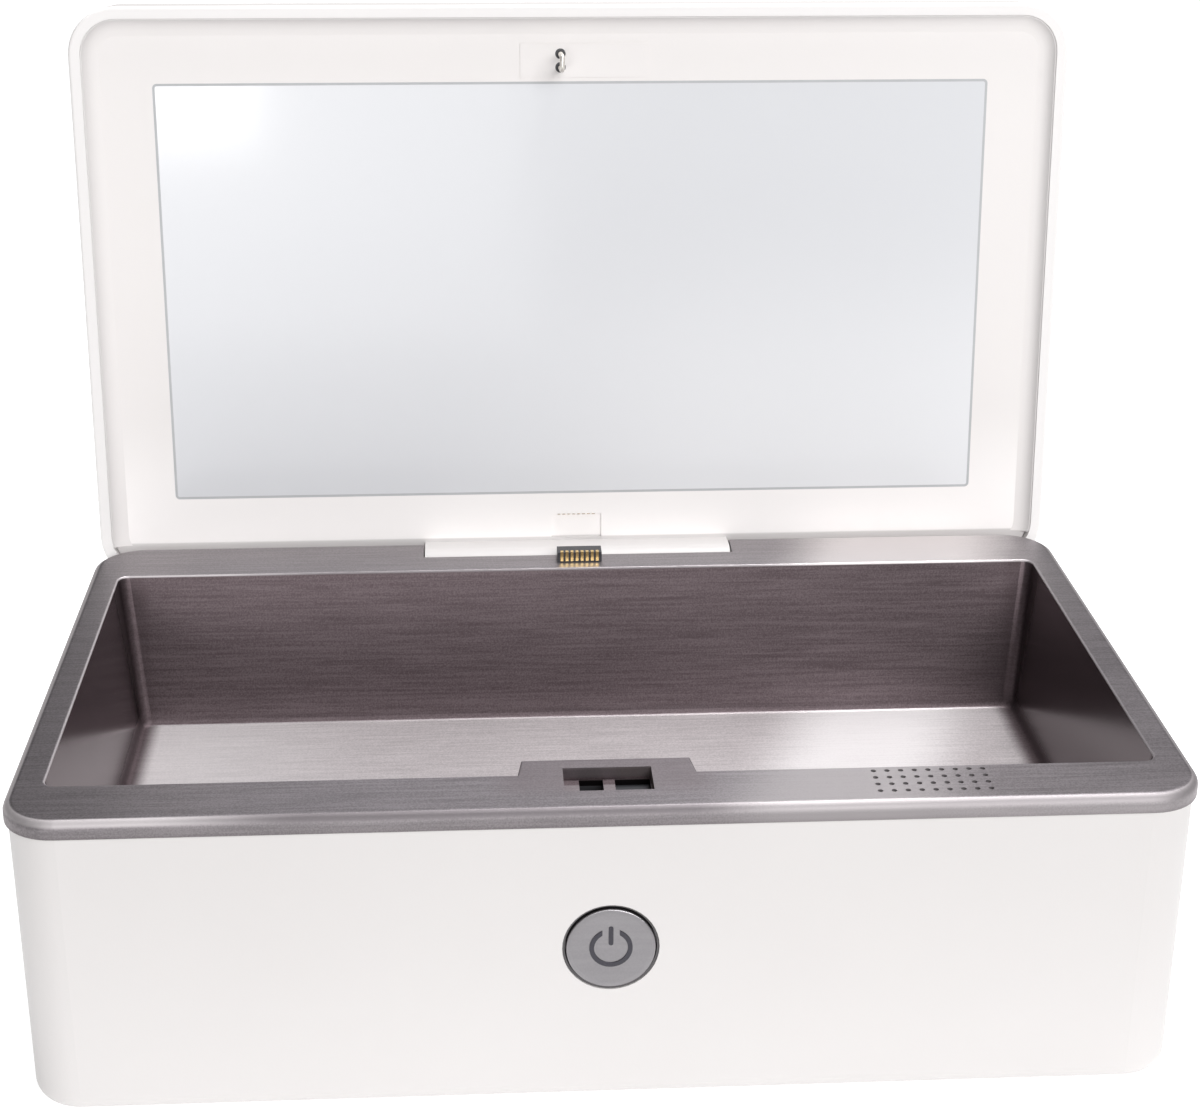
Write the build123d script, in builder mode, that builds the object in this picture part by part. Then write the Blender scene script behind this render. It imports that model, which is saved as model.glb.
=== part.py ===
from build123d import *
import os
from math import cos, radians, sin, sqrt

# Sterilizer box with an ultraviolet lamp in its hinged lid, modelled with the lid open.
# Millimetres, +Z up, front towards -Y. The origin is on the table plane, under the middle
# of the box that goes round the open part.

os.makedirs("parts", exist_ok=True)

# Overall size
overall_width = 240.0
base_depth = 141.6
base_height = 68.5
corner_radius = 11.5
lid_thickness = 20.0
open_angle = 95.75

# Clearances
slide_gap = 0.3
seat_gap = 0.05
pin_play = 0.05
assembly_gap = 0.2

# Body shell
body_wall = 2.5
rim_overhang = 0.8
body_bottom_radius = 4.0
ledge_thickness = 2.8
ledge_width = 1.8
tongue_height = 1.2

# Base cover, feet and the screws that close the base
cover_thickness = 2.2
cover_edge_inset = 5.4
foot_height = 2.0
foot_radius = 7.0
foot_recess = 0.8
foot_edge_radius = 0.4
foot_inset_x = 20.0
foot_inset_y = 22.0
column_radius = 3.6
column_inset = 11.2
column_from_side = 18.0
column_from_bracket = 9.0
column_from_cheek = 11.0
screw_radius = 1.45
screw_head_radius = 2.7
screw_head_sink = 1.3
case_screw_length = 10.0
screw_bore_spare = 2.0

# Rim and chamber tub, one moulding
rim_band = 3.8
rim_edge_radius = 2.0
flange_thickness = 2.4
skirt_thickness = 2.2
tub_wall = 1.6
chamber_side = 7.15
chamber_front = 15.3
chamber_rear = 18.4
chamber_depth = 37.2
chamber_lean_side = 3.9
chamber_lean_front = 3.7
chamber_lean_back = 7.0
chamber_corner_radius = 2.5
chamber_edge_radius = 0.5
chamber_floor_radius = 1.5

# Latch boss and its pocket in the front of the rim
boss_flare = 0.9
boss_side_room = 0.45
boss_end_room = 1.0
pocket_width = 18.0
pocket_front = 8.0
pocket_back = 17.7
pocket_depth = 2.5
pocket_floor = 1.5
slot_front = 10.5
slot_back = 17.4
striker_slot_width = 4.9
bolt_slot_width = 7.2
slot_bridge = 2.4

# Grille over the sounder
grille_x = 65.1
grille_y = 9.25
grille_pitch = 2.8
grille_columns = 9
grille_rows = 4
grille_hole_radius = 0.55

# Hinge
hinge_drop = 4.2
lid_gap = 0.3
stop_gap = 0.1
knuckle_radius = 4.1
hinge_notch_width = 77.6
hinge_cheek = 8.2
trough_wall = 1.5
trough_front_gap = 1.24
trough_floor_gap = 1.1
trough_floor = 1.6
hinge_pin_radius = 1.5
hinge_pin_length = 18.0
bush_wall = 0.85
bush_length = 6.0

# Lid
lid_wall = 2.8
lid_top_wall = 2.5
lid_edge_radius = 6.0
lid_lip_radius = 0.7
frame_recess = 2.0
frame_thickness = 2.2
frame_edge_radius = 0.8
window_side = 19.7
window_from_hinge = 17.0
window_from_striker = 0.74
window_thickness = 1.9
window_corner_radius = 0.5
ledge_wall = 2.0
window_ledge = 6.0
gasket_width = 0.6
gasket_bed = 0.4
gasket_bed_width = 3.0
ledge_back = 2.0
post_radius = 2.9
post_from_side = 9.8
post_end_x = 62.0
frame_pin_radius = 1.4
frame_pin_length = 5.0
frame_pin_spare = 0.5
relief_taper_start = 10.0
relief_taper_end = 4.0

# Lamp in the lid
reflector_sheet = 0.8
reflector_slope = 9.0
reflector_opening_margin = 3.0
reflector_screw_radius = 0.7
reflector_head_radius = 1.3
reflector_head_height = 0.8
reflector_screw_length = 2.4
lamp_board_side = 20.3
lamp_board_height = 26.0
lamp_board_thickness = 1.6
lamp_columns = 6
lamp_rows = 2
lamp_end_margin = 15.0
lamp_pitch_y = 13.0
lamp_side = 3.6
lamp_height = 1.2
lamp_dome_radius = 1.15
spreader_margin = 3.0
spreader_height = 60.0
spreader_thickness = 1.5
spreader_air = 1.1
lamp_screw_inset = 4.0
lamp_screw_length = 5.2
spreader_post_radius = 4.0

# Striker and latch
striker_x = -3.3
striker_wire_radius = 0.6
striker_span = 3.2
striker_from_front = 13.1
striker_catch = 0.6
striker_root = 3.0
striker_bend = 1.0
striker_pad_left = -13.0
striker_pad_right = 18.0
striker_pad_depth = 8.0
striker_pad_height = 0.3
bolt_travel = 3.0
bolt_nose_width = 1.3
bolt_nose_height = 2.2
bolt_nose_past_wire = 1.3
bolt_cam = 0.9
bolt_play = 0.1
latch_web = 0.8
bolt_body_width = 4.4
bolt_body_height = 3.5
bolt_body_length = 8.2
bolt_top_drop = 1.0
latch_wall = 1.6
latch_spring_shortest = 2.5
latch_spring_radius = 1.35
latch_spring_wire = 0.35
latch_spring_turns = 5
latch_ear = 5.6
latch_ear_drop = 2.5
latch_ear_y = 10.0
latch_screw_length = 5.2

# Contacts that feed the lamp when the lid is shut
contact_width = 11.0
contact_depth = 3.0
contact_head_depth = 4.3
contact_height = 2.5
contact_back_gap = 0.2
contact_below = 4.5
finger_count = 8
finger_pitch = 1.25
finger_width = 0.7
finger_thickness = 0.3
finger_margin = 0.35
finger_hook = 0.7
pad_gap = 0.2
pad_thickness = 0.15
pocket_gap = 0.9
ribbon_width = 8.0
ribbon_thickness = 0.3

# Start button
button_height_below_rim = 32.0
button_hole_radius = 9.85
collar_wall = 0.5
collar_flange = 1.0
collar_flange_reach = 1.8
collar_sink = 0.4
button_proud = 0.35
button_dish = 0.35
button_dish_rim = 1.0
button_face = 1.9
button_skirt = 1.1
button_flange = 1.2
button_travel = 0.8
button_hub_radius = 2.2
button_edge_radius = 0.25
button_flange_reach = 0.8
symbol_radius = 3.9
symbol_line = 0.95
symbol_gap_share = 0.9
symbol_bar_share = 1.1
symbol_bar_place = 0.72
symbol_depth = 0.3
symbol_proud = 0.08
button_spring_radius = 6.5
button_spring_wire = 0.5
button_spring_turns = 5
switch_side = 6.2
switch_height = 3.5
switch_plunger_radius = 1.7
switch_plunger_height = 0.7
switch_board_width = 24.0
switch_board_height = 16.0
board_thickness = 1.6
bracket_thickness = 1.6
bracket_width = 54.0
bracket_height = 14.0
bracket_screw_x = 23.0
bracket_post_radius = 2.8
peg_radius = 0.9
peg_x = 9.8
peg_z = 5.0
small_screw_radius = 1.0
small_head_radius = 1.9
small_head_height = 1.3
small_screw_length = 6.0

# Sounder under the grille
felt_thickness = 0.6
sounder_length = 26.0
sounder_width = 8.6
sounder_height = 4.6
sounder_cone_length = 20.0
sounder_cone_width = 6.0
sounder_cone_thickness = 0.6
sounder_rim = 1.2
clamp_thickness = 1.4
clamp_foot = 7.0

# Control board, charging socket and cells under the chamber
standoff_height = 6.0
standoff_radius = 2.8
board_from_side = 28.0
board_from_holder = 8.1
board_from_front = 26.0
board_from_back = 19.6
control_screw_inset = 5.0
# each block: share of the board's width and depth, then length, width and height
board_blocks = (
    (0.26, 0.35, 14.0, 14.0, 1.4),
    (0.47, 0.65, 12.0, 12.0, 5.0),
    (0.18, 0.73, 18.0, 10.0, 2.0),
    (0.82, 0.40, 10.0, 16.0, 1.8),
)
capacitor_places = ((0.11, 0.19), (0.11, 0.48), (0.85, 0.69))
capacitor_radius = 4.0
capacitor_height = 11.0
board_screw_length = 6.0
lead_bend = 2.0
lead_connector_height = 3.0
lead_connector_depth = 4.0
lead_connector_width = 12.0
socket_x = -34.0
socket_width = 8.9
socket_height = 3.2
socket_length = 7.3
socket_sheet = 0.3
socket_sink = 0.8
tongue_set_back = 0.9
socket_tab_width = 18.0
tongue_width = 6.6
tongue_sheet = 0.7
cell_radius = 9.2
cell_length = 65.0
cell_front = 52.0
holder_from_side = 11.1
holder_wall = 1.4
holder_height = 11.0
cell_gap = 1.8
cell_contact_sheet = 0.5
cell_contact_width = 9.0

# Places worked out from those sizes
lean = radians(open_angle - 90)
body_bottom = foot_height
rim_top = foot_height + base_height
skirt_bottom = rim_top - rim_band
flange_bottom = rim_top - flange_thickness
cover_top = body_bottom + cover_thickness
chamber_floor_z = rim_top - chamber_depth
chamber_width = overall_width - 2 * chamber_side
chamber_back = base_depth - chamber_rear
lip_distance = hinge_drop + lid_gap
hinge_from_front = base_depth + stop_gap - (lip_distance + (hinge_drop - rim_band) * sin(lean)) / cos(lean)
rear_reach = base_depth - hinge_from_front
lid_back_reach = (
    hinge_from_front
    + (hinge_from_front - lid_edge_radius) * sin(lean)
    + (lip_distance + lid_thickness - lid_edge_radius) * cos(lean)
    + lid_edge_radius
)
front_y = -lid_back_reach / 2
base_mid_y = front_y + base_depth / 2
hinge_y = front_y + hinge_from_front
hinge_z = rim_top - hinge_drop
lid_mid = (hinge_from_front - rear_reach) / 2
body_inner_inset = rim_overhang + body_wall
body_front_inner = front_y + body_inner_inset
hinge_frame = Plane(origin=(0, hinge_y, hinge_z), x_dir=(1, 0, 0), z_dir=(0, -cos(lean), sin(lean)))
hinge_axis = Axis((0, hinge_y, hinge_z), (1, 0, 0))
hinge_frame_axis = Axis(hinge_frame.origin, hinge_frame.z_dir)


def level(z):
    """A plan plane at one height."""
    return Plane.XY.offset(z)


def facing_front(y, z=0.0):
    """An upright plane that faces the front, with its origin at one height."""
    return Plane(origin=(0, y, z), x_dir=(1, 0, 0), z_dir=(0, -1, 0))


def side_on(x):
    """An upright plane seen from the right, at one place across the width."""
    return Plane(origin=(x, 0, 0), x_dir=(0, 1, 0), z_dir=(1, 0, 0))


def in_lid(depth):
    """A plane parallel to the lid's lip, at one depth behind it, measured from the hinge along the lid."""
    return hinge_frame.offset(-(lip_distance + depth))


def base_outline(inset):
    """The base's plan outline, moved in from the edge of the rim."""
    with Locations((0, base_mid_y)):
        RectangleRounded(overall_width - 2 * inset, base_depth - 2 * inset, corner_radius - inset)


def lid_outline(inset):
    """The lid's plan outline, moved in from its outer edge."""
    with Locations((0, lid_mid)):
        RectangleRounded(overall_width - 2 * inset, base_depth - 2 * inset, corner_radius - inset)


def slab(plane, x_range, y_range, thickness, mode=Mode.ADD):
    """A rectangular block on a plane, between two places along each of its directions."""
    with BuildSketch(plane) as outline:
        with Locations(((x_range[0] + x_range[1]) / 2, (y_range[0] + y_range[1]) / 2)):
            Rectangle(x_range[1] - x_range[0], y_range[1] - y_range[0])
    extrude(outline.sketch, amount=thickness, mode=mode)


def rods(plane, places, radius, length, mode=Mode.ADD):
    """Round rods or bores that start on a plane."""
    with BuildSketch(plane) as outline:
        with Locations(*places):
            Circle(radius)
    extrude(outline.sketch, amount=length, mode=mode)


def screws(plane, places, shank_radius, shank_length, head_radius, head_height):
    """Pan-head screws: the heads stand on the plane and the shanks go the other way."""
    rods(plane, places, head_radius, head_height)
    rods(plane, places, shank_radius, -shank_length)


def coil(start, direction, radius, wire, length, turns):
    """A helical spring that starts at a point and follows one direction."""
    height = length - wire
    centre = Vector(start) + Vector(direction) * (wire / 2)
    with BuildLine() as path:
        Helix(pitch=height / turns, height=height, radius=radius, center=centre, direction=direction)
    with BuildSketch(Plane(origin=path.line @ 0, z_dir=path.line % 0)) as section:
        Circle(wire / 2)
    sweep(section.sketch, path=path.line, is_frenet=True)


def flat_lead(plane, route, bend, thickness, width):
    """A flat ribbon lead that follows a route in a plane and is wide across it."""
    with BuildLine() as path:
        FilletPolyline(*route, radius=bend)
    with BuildSketch(plane) as outline:
        trace(path.edges(), line_width=thickness)
    extrude(outline.sketch, amount=width / 2, both=True)


def save(builder, name):
    """Label a finished piece and write it."""
    builder.part.label = name
    export_step(builder.part, f"parts/{name}.step")


# Heights, seats and posts worked out from the same sizes
body_back = front_y + base_depth - rim_overhang
notch_half = hinge_notch_width / 2
cheek_half = notch_half + hinge_cheek
column_far_x = overall_width / 2 - column_from_side
column_places = [
    (side * x, y)
    for side in (-1, 1)
    for x, y in (
        (column_far_x, front_y + column_inset),
        (bracket_width / 2 + column_from_bracket, front_y + column_inset),
        (column_far_x, front_y + base_depth - column_inset),
        (cheek_half + column_from_cheek, front_y + base_depth - column_inset),
    )
]
knuckle_half = notch_half - slide_gap
bush_radius = hinge_pin_radius + pin_play + bush_wall
notch_front = hinge_y - knuckle_radius - trough_front_gap
trough_bottom = hinge_z - knuckle_radius - trough_floor_gap
hinge_block_bottom = trough_bottom - trough_floor
hinge_block_front = notch_front - trough_wall
contact_back = hinge_block_front - contact_back_gap
contact_front = contact_back - contact_depth
contact_top = rim_top + contact_height
contact_bottom = flange_bottom - contact_below
finger_places = [(number - (finger_count - 1) / 2) * finger_pitch for number in range(finger_count)]

# Latch, placed under the striker as it comes down with the lid
pocket_floor_z = rim_top - pocket_depth
latch_top = pocket_floor_z - pocket_floor
slot_range = (front_y + slot_front, front_y + slot_back)
striker_slot_left = striker_x - striker_slot_width / 2
striker_slot_right = striker_x + striker_slot_width / 2
bolt_slot_left = striker_slot_right + slot_bridge
bolt_slot_right = bolt_slot_left + bolt_slot_width
bolt_y = front_y + striker_from_front
bolt_left = striker_slot_right + latch_web
bolt_right = bolt_left + bolt_body_length
bolt_top = latch_top - bolt_top_drop
bolt_mid_z = bolt_top - bolt_body_height / 2
latch_spring_room = latch_spring_shortest + bolt_travel
latch_room_right = bolt_right + latch_spring_room
latch_left = striker_slot_left - latch_wall
latch_right = latch_room_right + latch_wall
latch_bottom = bolt_top - bolt_body_height - bolt_play - latch_wall
latch_ear_top = latch_top - latch_ear_drop
boss_nose_half = latch_right + boss_side_room + tub_wall
boss_root_half = boss_nose_half + boss_flare
boss_nose = front_y + slot_back + latch_wall + boss_end_room + tub_wall
striker_foot = hinge_z + lip_distance + frame_recess
striker_reach = striker_foot - bolt_top + bolt_nose_height + striker_catch + 2 * striker_wire_radius
latch_screw_places = [
    (latch_left - latch_ear / 2, front_y + latch_ear_y),
    (latch_right + latch_ear / 2, front_y + latch_ear_y),
]

# Sounder, start button and boards
peg_places = [(side * peg_x, up * peg_z) for side in (-1, 1) for up in (-1, 1)]
sounder_top = flange_bottom - felt_thickness
sounder_bottom = sounder_top - sounder_height
sounder_mid_y = (body_front_inner + front_y + chamber_front - tub_wall) / 2
clamp_screw_places = [
    (grille_x + side * (sounder_length + clamp_foot) / 2, sounder_mid_y) for side in (-1, 1)
]
button_z = rim_top - button_height_below_rim
body_front = front_y + rim_overhang
collar_bore = button_hole_radius - collar_wall
button_radius = collar_bore - slide_gap
button_front = body_front - button_proud
collar_back = body_front_inner + collar_flange
button_flange_front = collar_back + seat_gap
button_back = button_flange_front + button_flange
plunger_front = button_back + button_travel + seat_gap
switch_front = plunger_front + switch_plunger_height
switch_board_front = switch_front + switch_height
bracket_front = switch_board_front + board_thickness
bracket_screw_places = [(-bracket_screw_x, 0), (bracket_screw_x, 0)]
control_bottom = cover_top + standoff_height
control_top = control_bottom + board_thickness
holder_x = (
    overall_width / 2 - holder_from_side - holder_wall - 2 * cell_contact_sheet - cell_length,
    overall_width / 2 - holder_from_side - holder_wall,
)
cell_left = holder_x[0] + cell_contact_sheet
control_left = board_from_side - overall_width / 2
control_right = holder_x[0] - holder_wall - board_from_holder
control_front = front_y + board_from_front
control_back = front_y + base_depth - board_from_back
socket_mid_z = control_top + socket_height / 2
socket_mouth = body_back - socket_sink
control_screw_places = [
    (x, y)
    for x in (control_left + control_screw_inset, control_right - control_screw_inset)
    for y in (control_front + control_screw_inset, control_back - control_screw_inset)
]
foot_places = [
    (side * (overall_width / 2 - foot_inset_x), y)
    for side in (-1, 1)
    for y in (front_y + foot_inset_y, front_y + base_depth - foot_inset_y)
]

# Lid, measured from the hinge along the lid and from the lip into its depth
lid_front_v = hinge_from_front
lid_inner_depth = lid_thickness - lid_top_wall
frame_back = frame_recess + frame_thickness
striker_mid_v = hinge_from_front - striker_from_front
striker_leg_v = (striker_mid_v - striker_span / 2, striker_mid_v + striker_span / 2)
striker_side_v = striker_leg_v[0] - striker_wire_radius
window_width = overall_width - 2 * window_side
window_v = (window_from_hinge, striker_side_v - window_from_striker - ledge_wall - gasket_width)
window_height = window_v[1] - window_v[0]
window_mid = (window_v[0] + window_v[1]) / 2
opening_width = window_width + 2 * gasket_width
opening_height = window_height + 2 * gasket_width
ledge_front = frame_recess + window_thickness + gasket_bed
ledge_bottom = ledge_front + ledge_back
spreader_back = lid_inner_depth - spreader_air
lamp_board_back = spreader_back - spreader_thickness
lamp_board_front = lamp_board_back - lamp_board_thickness
reflector_back = lamp_board_front
reflector_depth = reflector_back - ledge_bottom
lamp_board_width = window_width - 2 * lamp_board_side
spreader_width = lamp_board_width + 2 * spreader_margin
lamp_pitch_x = (lamp_board_width - 2 * lamp_end_margin) / (lamp_columns - 1)
post_side_x = overall_width / 2 - post_from_side
post_places = [
    (side * post_side_x, v)
    for side in (-1, 1)
    for v in (window_from_hinge, window_mid, window_v[1])
] + [
    (side * post_end_x, v)
    for side in (-1, 1)
    for v in (window_from_hinge / 2, (window_v[1] + lid_front_v) / 2)
]
lamp_middle_column = (lamp_columns - 1) / 2
lamp_middle_row = (lamp_rows - 1) / 2
lamp_places = [
    ((column - lamp_middle_column) * lamp_pitch_x, window_mid + (row - lamp_middle_row) * lamp_pitch_y)
    for column in range(lamp_columns)
    for row in range(lamp_rows)
]
lamp_screw_x = lamp_board_width / 2 - lamp_screw_inset
lamp_screw_v = lamp_board_height / 2 - lamp_screw_inset
lamp_screw_places = [
    (side_x * lamp_screw_x, window_mid + side_v * lamp_screw_v) for side_x in (-1, 1) for side_v in (-1, 1)
]
reflector_screw_places = [
    (x, v)
    for x in (-window_width / 4, 0, window_width / 4)
    for v in (window_v[0] + window_ledge / 2, window_v[1] - window_ledge / 2)
]
rim_swing = rim_edge_radius + sqrt((rear_reach - rim_edge_radius) ** 2 + (hinge_drop - rim_edge_radius) ** 2)
relief_radius = rim_swing + slide_gap
lid_pocket_v = (
    hinge_from_front - (contact_front + contact_head_depth - front_y) - pocket_gap,
    hinge_from_front - (contact_front - front_y) + pocket_gap,
)
lid_pocket_depth = contact_top + finger_thickness + pad_gap - hinge_z - lip_distance


# Chamber: the space inside the tub, and the tub's outer skin round it
def chamber_loft(grow, top_z, floor_z):
    """A drafted rounded box, grown out from the chamber's walls."""
    top_width = chamber_width + 2 * grow
    floor_width = top_width - 2 * chamber_lean_side
    top_front = chamber_front - grow
    top_back = chamber_back + grow
    floor_front = top_front + chamber_lean_front
    floor_back = top_back - chamber_lean_back
    with BuildSketch(level(floor_z)) as lower:
        with Locations((0, front_y + (floor_front + floor_back) / 2)):
            RectangleRounded(floor_width, floor_back - floor_front, chamber_corner_radius + grow)
    with BuildSketch(level(top_z)) as upper:
        with Locations((0, front_y + (top_front + top_back) / 2)):
            RectangleRounded(top_width, top_back - top_front, chamber_corner_radius + grow)
    loft([lower.sketch, upper.sketch])


def boss_block(inset, front, z, height, mode=Mode.ADD):
    """The latch boss that stands out from the chamber's front wall, or its hollow."""
    root = boss_root_half - inset
    nose = boss_nose_half - inset
    with BuildLine() as edge:
        Polyline(
            (-root, front),
            (-root, front_y + chamber_front),
            (-nose, boss_nose - inset),
            (nose, boss_nose - inset),
            (root, front_y + chamber_front),
            (root, front),
            close=True,
        )
    with BuildSketch(level(z)) as outline:
        make_face(edge.edges())
    extrude(outline.sketch, amount=height, mode=mode)


with BuildPart() as chamber_space:
    chamber_loft(0, rim_top, chamber_floor_z)
    fillet(chamber_space.faces().sort_by(Axis.Z)[0].edges(), chamber_floor_radius)
    boss_block(0, front_y, chamber_floor_z, chamber_depth, Mode.SUBTRACT)

# Rim and chamber tub, one moulding
with BuildPart() as chamber_tub:
    with BuildSketch(level(skirt_bottom)):
        base_outline(0)
    extrude(amount=rim_band)
    fillet(chamber_tub.faces().sort_by(Axis.Z)[-1].edges(), rim_edge_radius)
    with BuildSketch(level(skirt_bottom)):
        base_outline(skirt_thickness)
    extrude(amount=rim_band - flange_thickness, mode=Mode.SUBTRACT)
    chamber_loft(tub_wall, flange_bottom, chamber_floor_z - tub_wall)
    # the latch boss goes down to the floor, so that the chamber has no undercut
    boss_block(
        0,
        front_y + chamber_front - tub_wall / 2,
        chamber_floor_z - tub_wall,
        chamber_depth + tub_wall - flange_thickness,
    )
    slab(
        level(hinge_block_bottom),
        (-cheek_half, cheek_half),
        (hinge_block_front, body_back),
        flange_bottom - hinge_block_bottom,
    )
    rods(level(cover_top), column_places, column_radius, flange_bottom - cover_top)
    # walls round the latch pocket, which hangs below the flange
    slab(
        level(latch_top),
        (-pocket_width / 2 - tub_wall, pocket_width / 2 + tub_wall),
        (front_y + pocket_front - tub_wall, front_y + pocket_back + tub_wall),
        flange_bottom - latch_top,
    )
    add(chamber_space.part, mode=Mode.SUBTRACT)
    chamber_mouth = (
        chamber_tub.edges()
        .filter_by_position(Axis.Z, rim_top - seat_gap, rim_top + seat_gap)
        .filter_by_position(Axis.X, -chamber_width / 2 - seat_gap, chamber_width / 2 + seat_gap)
        .filter_by_position(Axis.Y, front_y + chamber_front - seat_gap, front_y + chamber_back + seat_gap)
    )
    fillet(chamber_mouth, chamber_edge_radius)
    # room for the latch inside the boss, then the pocket and its two slots
    boss_block(
        tub_wall,
        front_y + pocket_front - tub_wall,
        latch_top,
        chamber_floor_z - 2 * tub_wall - latch_top,
        Mode.SUBTRACT,
    )
    slab(
        level(rim_top),
        (-pocket_width / 2, pocket_width / 2),
        (front_y + pocket_front, front_y + pocket_back),
        -pocket_depth,
        Mode.SUBTRACT,
    )
    slab(level(latch_top), (striker_slot_left, striker_slot_right), slot_range, pocket_floor, Mode.SUBTRACT)
    slab(level(latch_top), (bolt_slot_left, bolt_slot_right), slot_range, pocket_floor, Mode.SUBTRACT)
    with BuildSketch(level(rim_top)):
        with Locations((grille_x, front_y + grille_y)):
            with GridLocations(grille_pitch, grille_pitch, grille_columns, grille_rows):
                Circle(grille_hole_radius)
    extrude(amount=-flange_thickness, mode=Mode.SUBTRACT)
    # hinge trough, open at the top and the back, with a seat for a bush in each cheek
    slab(
        level(trough_bottom),
        (-notch_half, notch_half),
        (notch_front, front_y + base_depth),
        rim_top - trough_bottom,
        Mode.SUBTRACT,
    )
    for side in (-1, 1):
        rods(
            Plane(origin=(side * notch_half, hinge_y, hinge_z), z_dir=(side, 0, 0)),
            [(0, 0)],
            bush_radius,
            bush_length + slide_gap,
            Mode.SUBTRACT,
        )
    # seat of the contact block
    slab(
        level(flange_bottom),
        (-contact_width / 2 - seat_gap, contact_width / 2 + seat_gap),
        (contact_front - seat_gap, contact_back + seat_gap),
        flange_thickness,
        Mode.SUBTRACT,
    )
    # posts and bores for the screws
    case_bore = case_screw_length - cover_thickness + screw_bore_spare
    rods(level(cover_top), column_places, screw_radius, case_bore, Mode.SUBTRACT)
    for places, post_bottom in (
        (latch_screw_places, latch_ear_top),
        (clamp_screw_places, sounder_bottom),
    ):
        rods(level(post_bottom), places, bracket_post_radius, flange_bottom - post_bottom)
        rods(level(post_bottom), places, small_screw_radius, flange_bottom - post_bottom, Mode.SUBTRACT)
save(chamber_tub, "chamber_tub")

# Body shell: outer wall, open at the top, with a ledge round the base cover
with BuildPart() as body_shell:
    with BuildSketch(level(body_bottom)):
        base_outline(rim_overhang)
    extrude(amount=skirt_bottom - body_bottom)
    fillet(body_shell.faces().sort_by(Axis.Z)[0].edges(), body_bottom_radius)
    with BuildSketch(level(skirt_bottom)):
        base_outline(skirt_thickness + assembly_gap)
    extrude(amount=tongue_height)
    with BuildSketch(level(cover_top + ledge_thickness)):
        base_outline(body_inner_inset)
    extrude(amount=rim_top - cover_top, mode=Mode.SUBTRACT)
    with BuildSketch(level(body_bottom)):
        base_outline(cover_edge_inset - assembly_gap)
    extrude(amount=cover_thickness, mode=Mode.SUBTRACT)
    with BuildSketch(level(body_bottom)):
        base_outline(cover_edge_inset + ledge_width)
    extrude(amount=cover_thickness + ledge_thickness, mode=Mode.SUBTRACT)
    # window in the back wall for the hinge block
    slab(
        level(hinge_block_bottom - assembly_gap),
        (-cheek_half - assembly_gap, cheek_half + assembly_gap),
        (base_mid_y, front_y + base_depth),
        rim_top - hinge_block_bottom,
        Mode.SUBTRACT,
    )
    rods(
        facing_front(front_y, button_z),
        [(0, 0)],
        button_hole_radius,
        -(body_inner_inset + body_wall),
        Mode.SUBTRACT,
    )
    # posts for the switch bracket
    rods(
        facing_front(bracket_front, button_z),
        bracket_screw_places,
        bracket_post_radius,
        bracket_front - body_front_inner,
    )
    rods(
        facing_front(bracket_front, button_z),
        bracket_screw_places,
        small_screw_radius,
        small_screw_length,
        Mode.SUBTRACT,
    )
    with BuildSketch(facing_front(body_back, socket_mid_z)):
        with Locations((socket_x, 0)):
            SlotOverall(socket_width + 2 * slide_gap, socket_height + 2 * slide_gap)
    extrude(amount=2 * body_wall, mode=Mode.SUBTRACT)
save(body_shell, "body_shell")

# Base cover with standoffs, and the feet let into it
with BuildPart() as base_cover:
    with BuildSketch(level(body_bottom)):
        base_outline(cover_edge_inset)
    extrude(amount=cover_thickness)
    rods(level(cover_top), control_screw_places, standoff_radius, standoff_height)
    rods(level(cover_top), control_screw_places, small_screw_radius, standoff_height, Mode.SUBTRACT)
    rods(level(body_bottom), foot_places, foot_radius, foot_recess, Mode.SUBTRACT)
    rods(level(body_bottom), column_places, screw_head_radius + seat_gap, screw_head_sink, Mode.SUBTRACT)
    rods(level(body_bottom), column_places, screw_radius + seat_gap, cover_thickness, Mode.SUBTRACT)
save(base_cover, "base_cover")

with BuildPart() as base_feet:
    rods(level(0), foot_places, foot_radius, foot_height + foot_recess)
    fillet(base_feet.faces().group_by(Axis.Z)[0].edges(), foot_edge_radius)
save(base_feet, "base_feet")

with BuildPart() as cover_screws:
    rods(level(body_bottom), column_places, screw_head_radius, screw_head_sink)
    rods(level(body_bottom), column_places, screw_radius, case_screw_length)
save(cover_screws, "cover_screws")

# Start button, with its symbol, collar, spring, switch, board and bracket
with BuildPart() as button_collar:
    rods(
        facing_front(collar_back, button_z),
        [(0, 0)],
        button_hole_radius + collar_flange_reach,
        collar_flange,
    )
    rods(
        facing_front(collar_back, button_z),
        [(0, 0)],
        button_hole_radius,
        collar_back - body_front - collar_sink,
    )
    rods(facing_front(collar_back, button_z), [(0, 0)], collar_bore, collar_back - front_y, Mode.SUBTRACT)
save(button_collar, "button_collar")

symbol_front = button_front + button_dish / 2 - symbol_proud
symbol_back = button_front + button_dish + symbol_depth
dish_radius = button_radius - button_dish_rim
dish_sphere_radius = (dish_radius**2 + button_dish**2) / (2 * button_dish)


def symbol_prism(front, back, mode=Mode.ADD):
    """The start symbol, a ring that is open at the top and a short upright bar in the gap."""
    with BuildSketch(facing_front(back, button_z)) as outline:
        Circle(symbol_radius + symbol_line / 2)
        Circle(symbol_radius - symbol_line / 2, mode=Mode.SUBTRACT)
        with Locations((0, symbol_radius)):
            Rectangle(symbol_radius * symbol_gap_share, 2 * symbol_radius, mode=Mode.SUBTRACT)
        with Locations((0, symbol_radius * symbol_bar_place)):
            SlotOverall(symbol_radius * symbol_bar_share, symbol_line, rotation=90)
    extrude(outline.sketch, amount=back - front, mode=mode)


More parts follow.
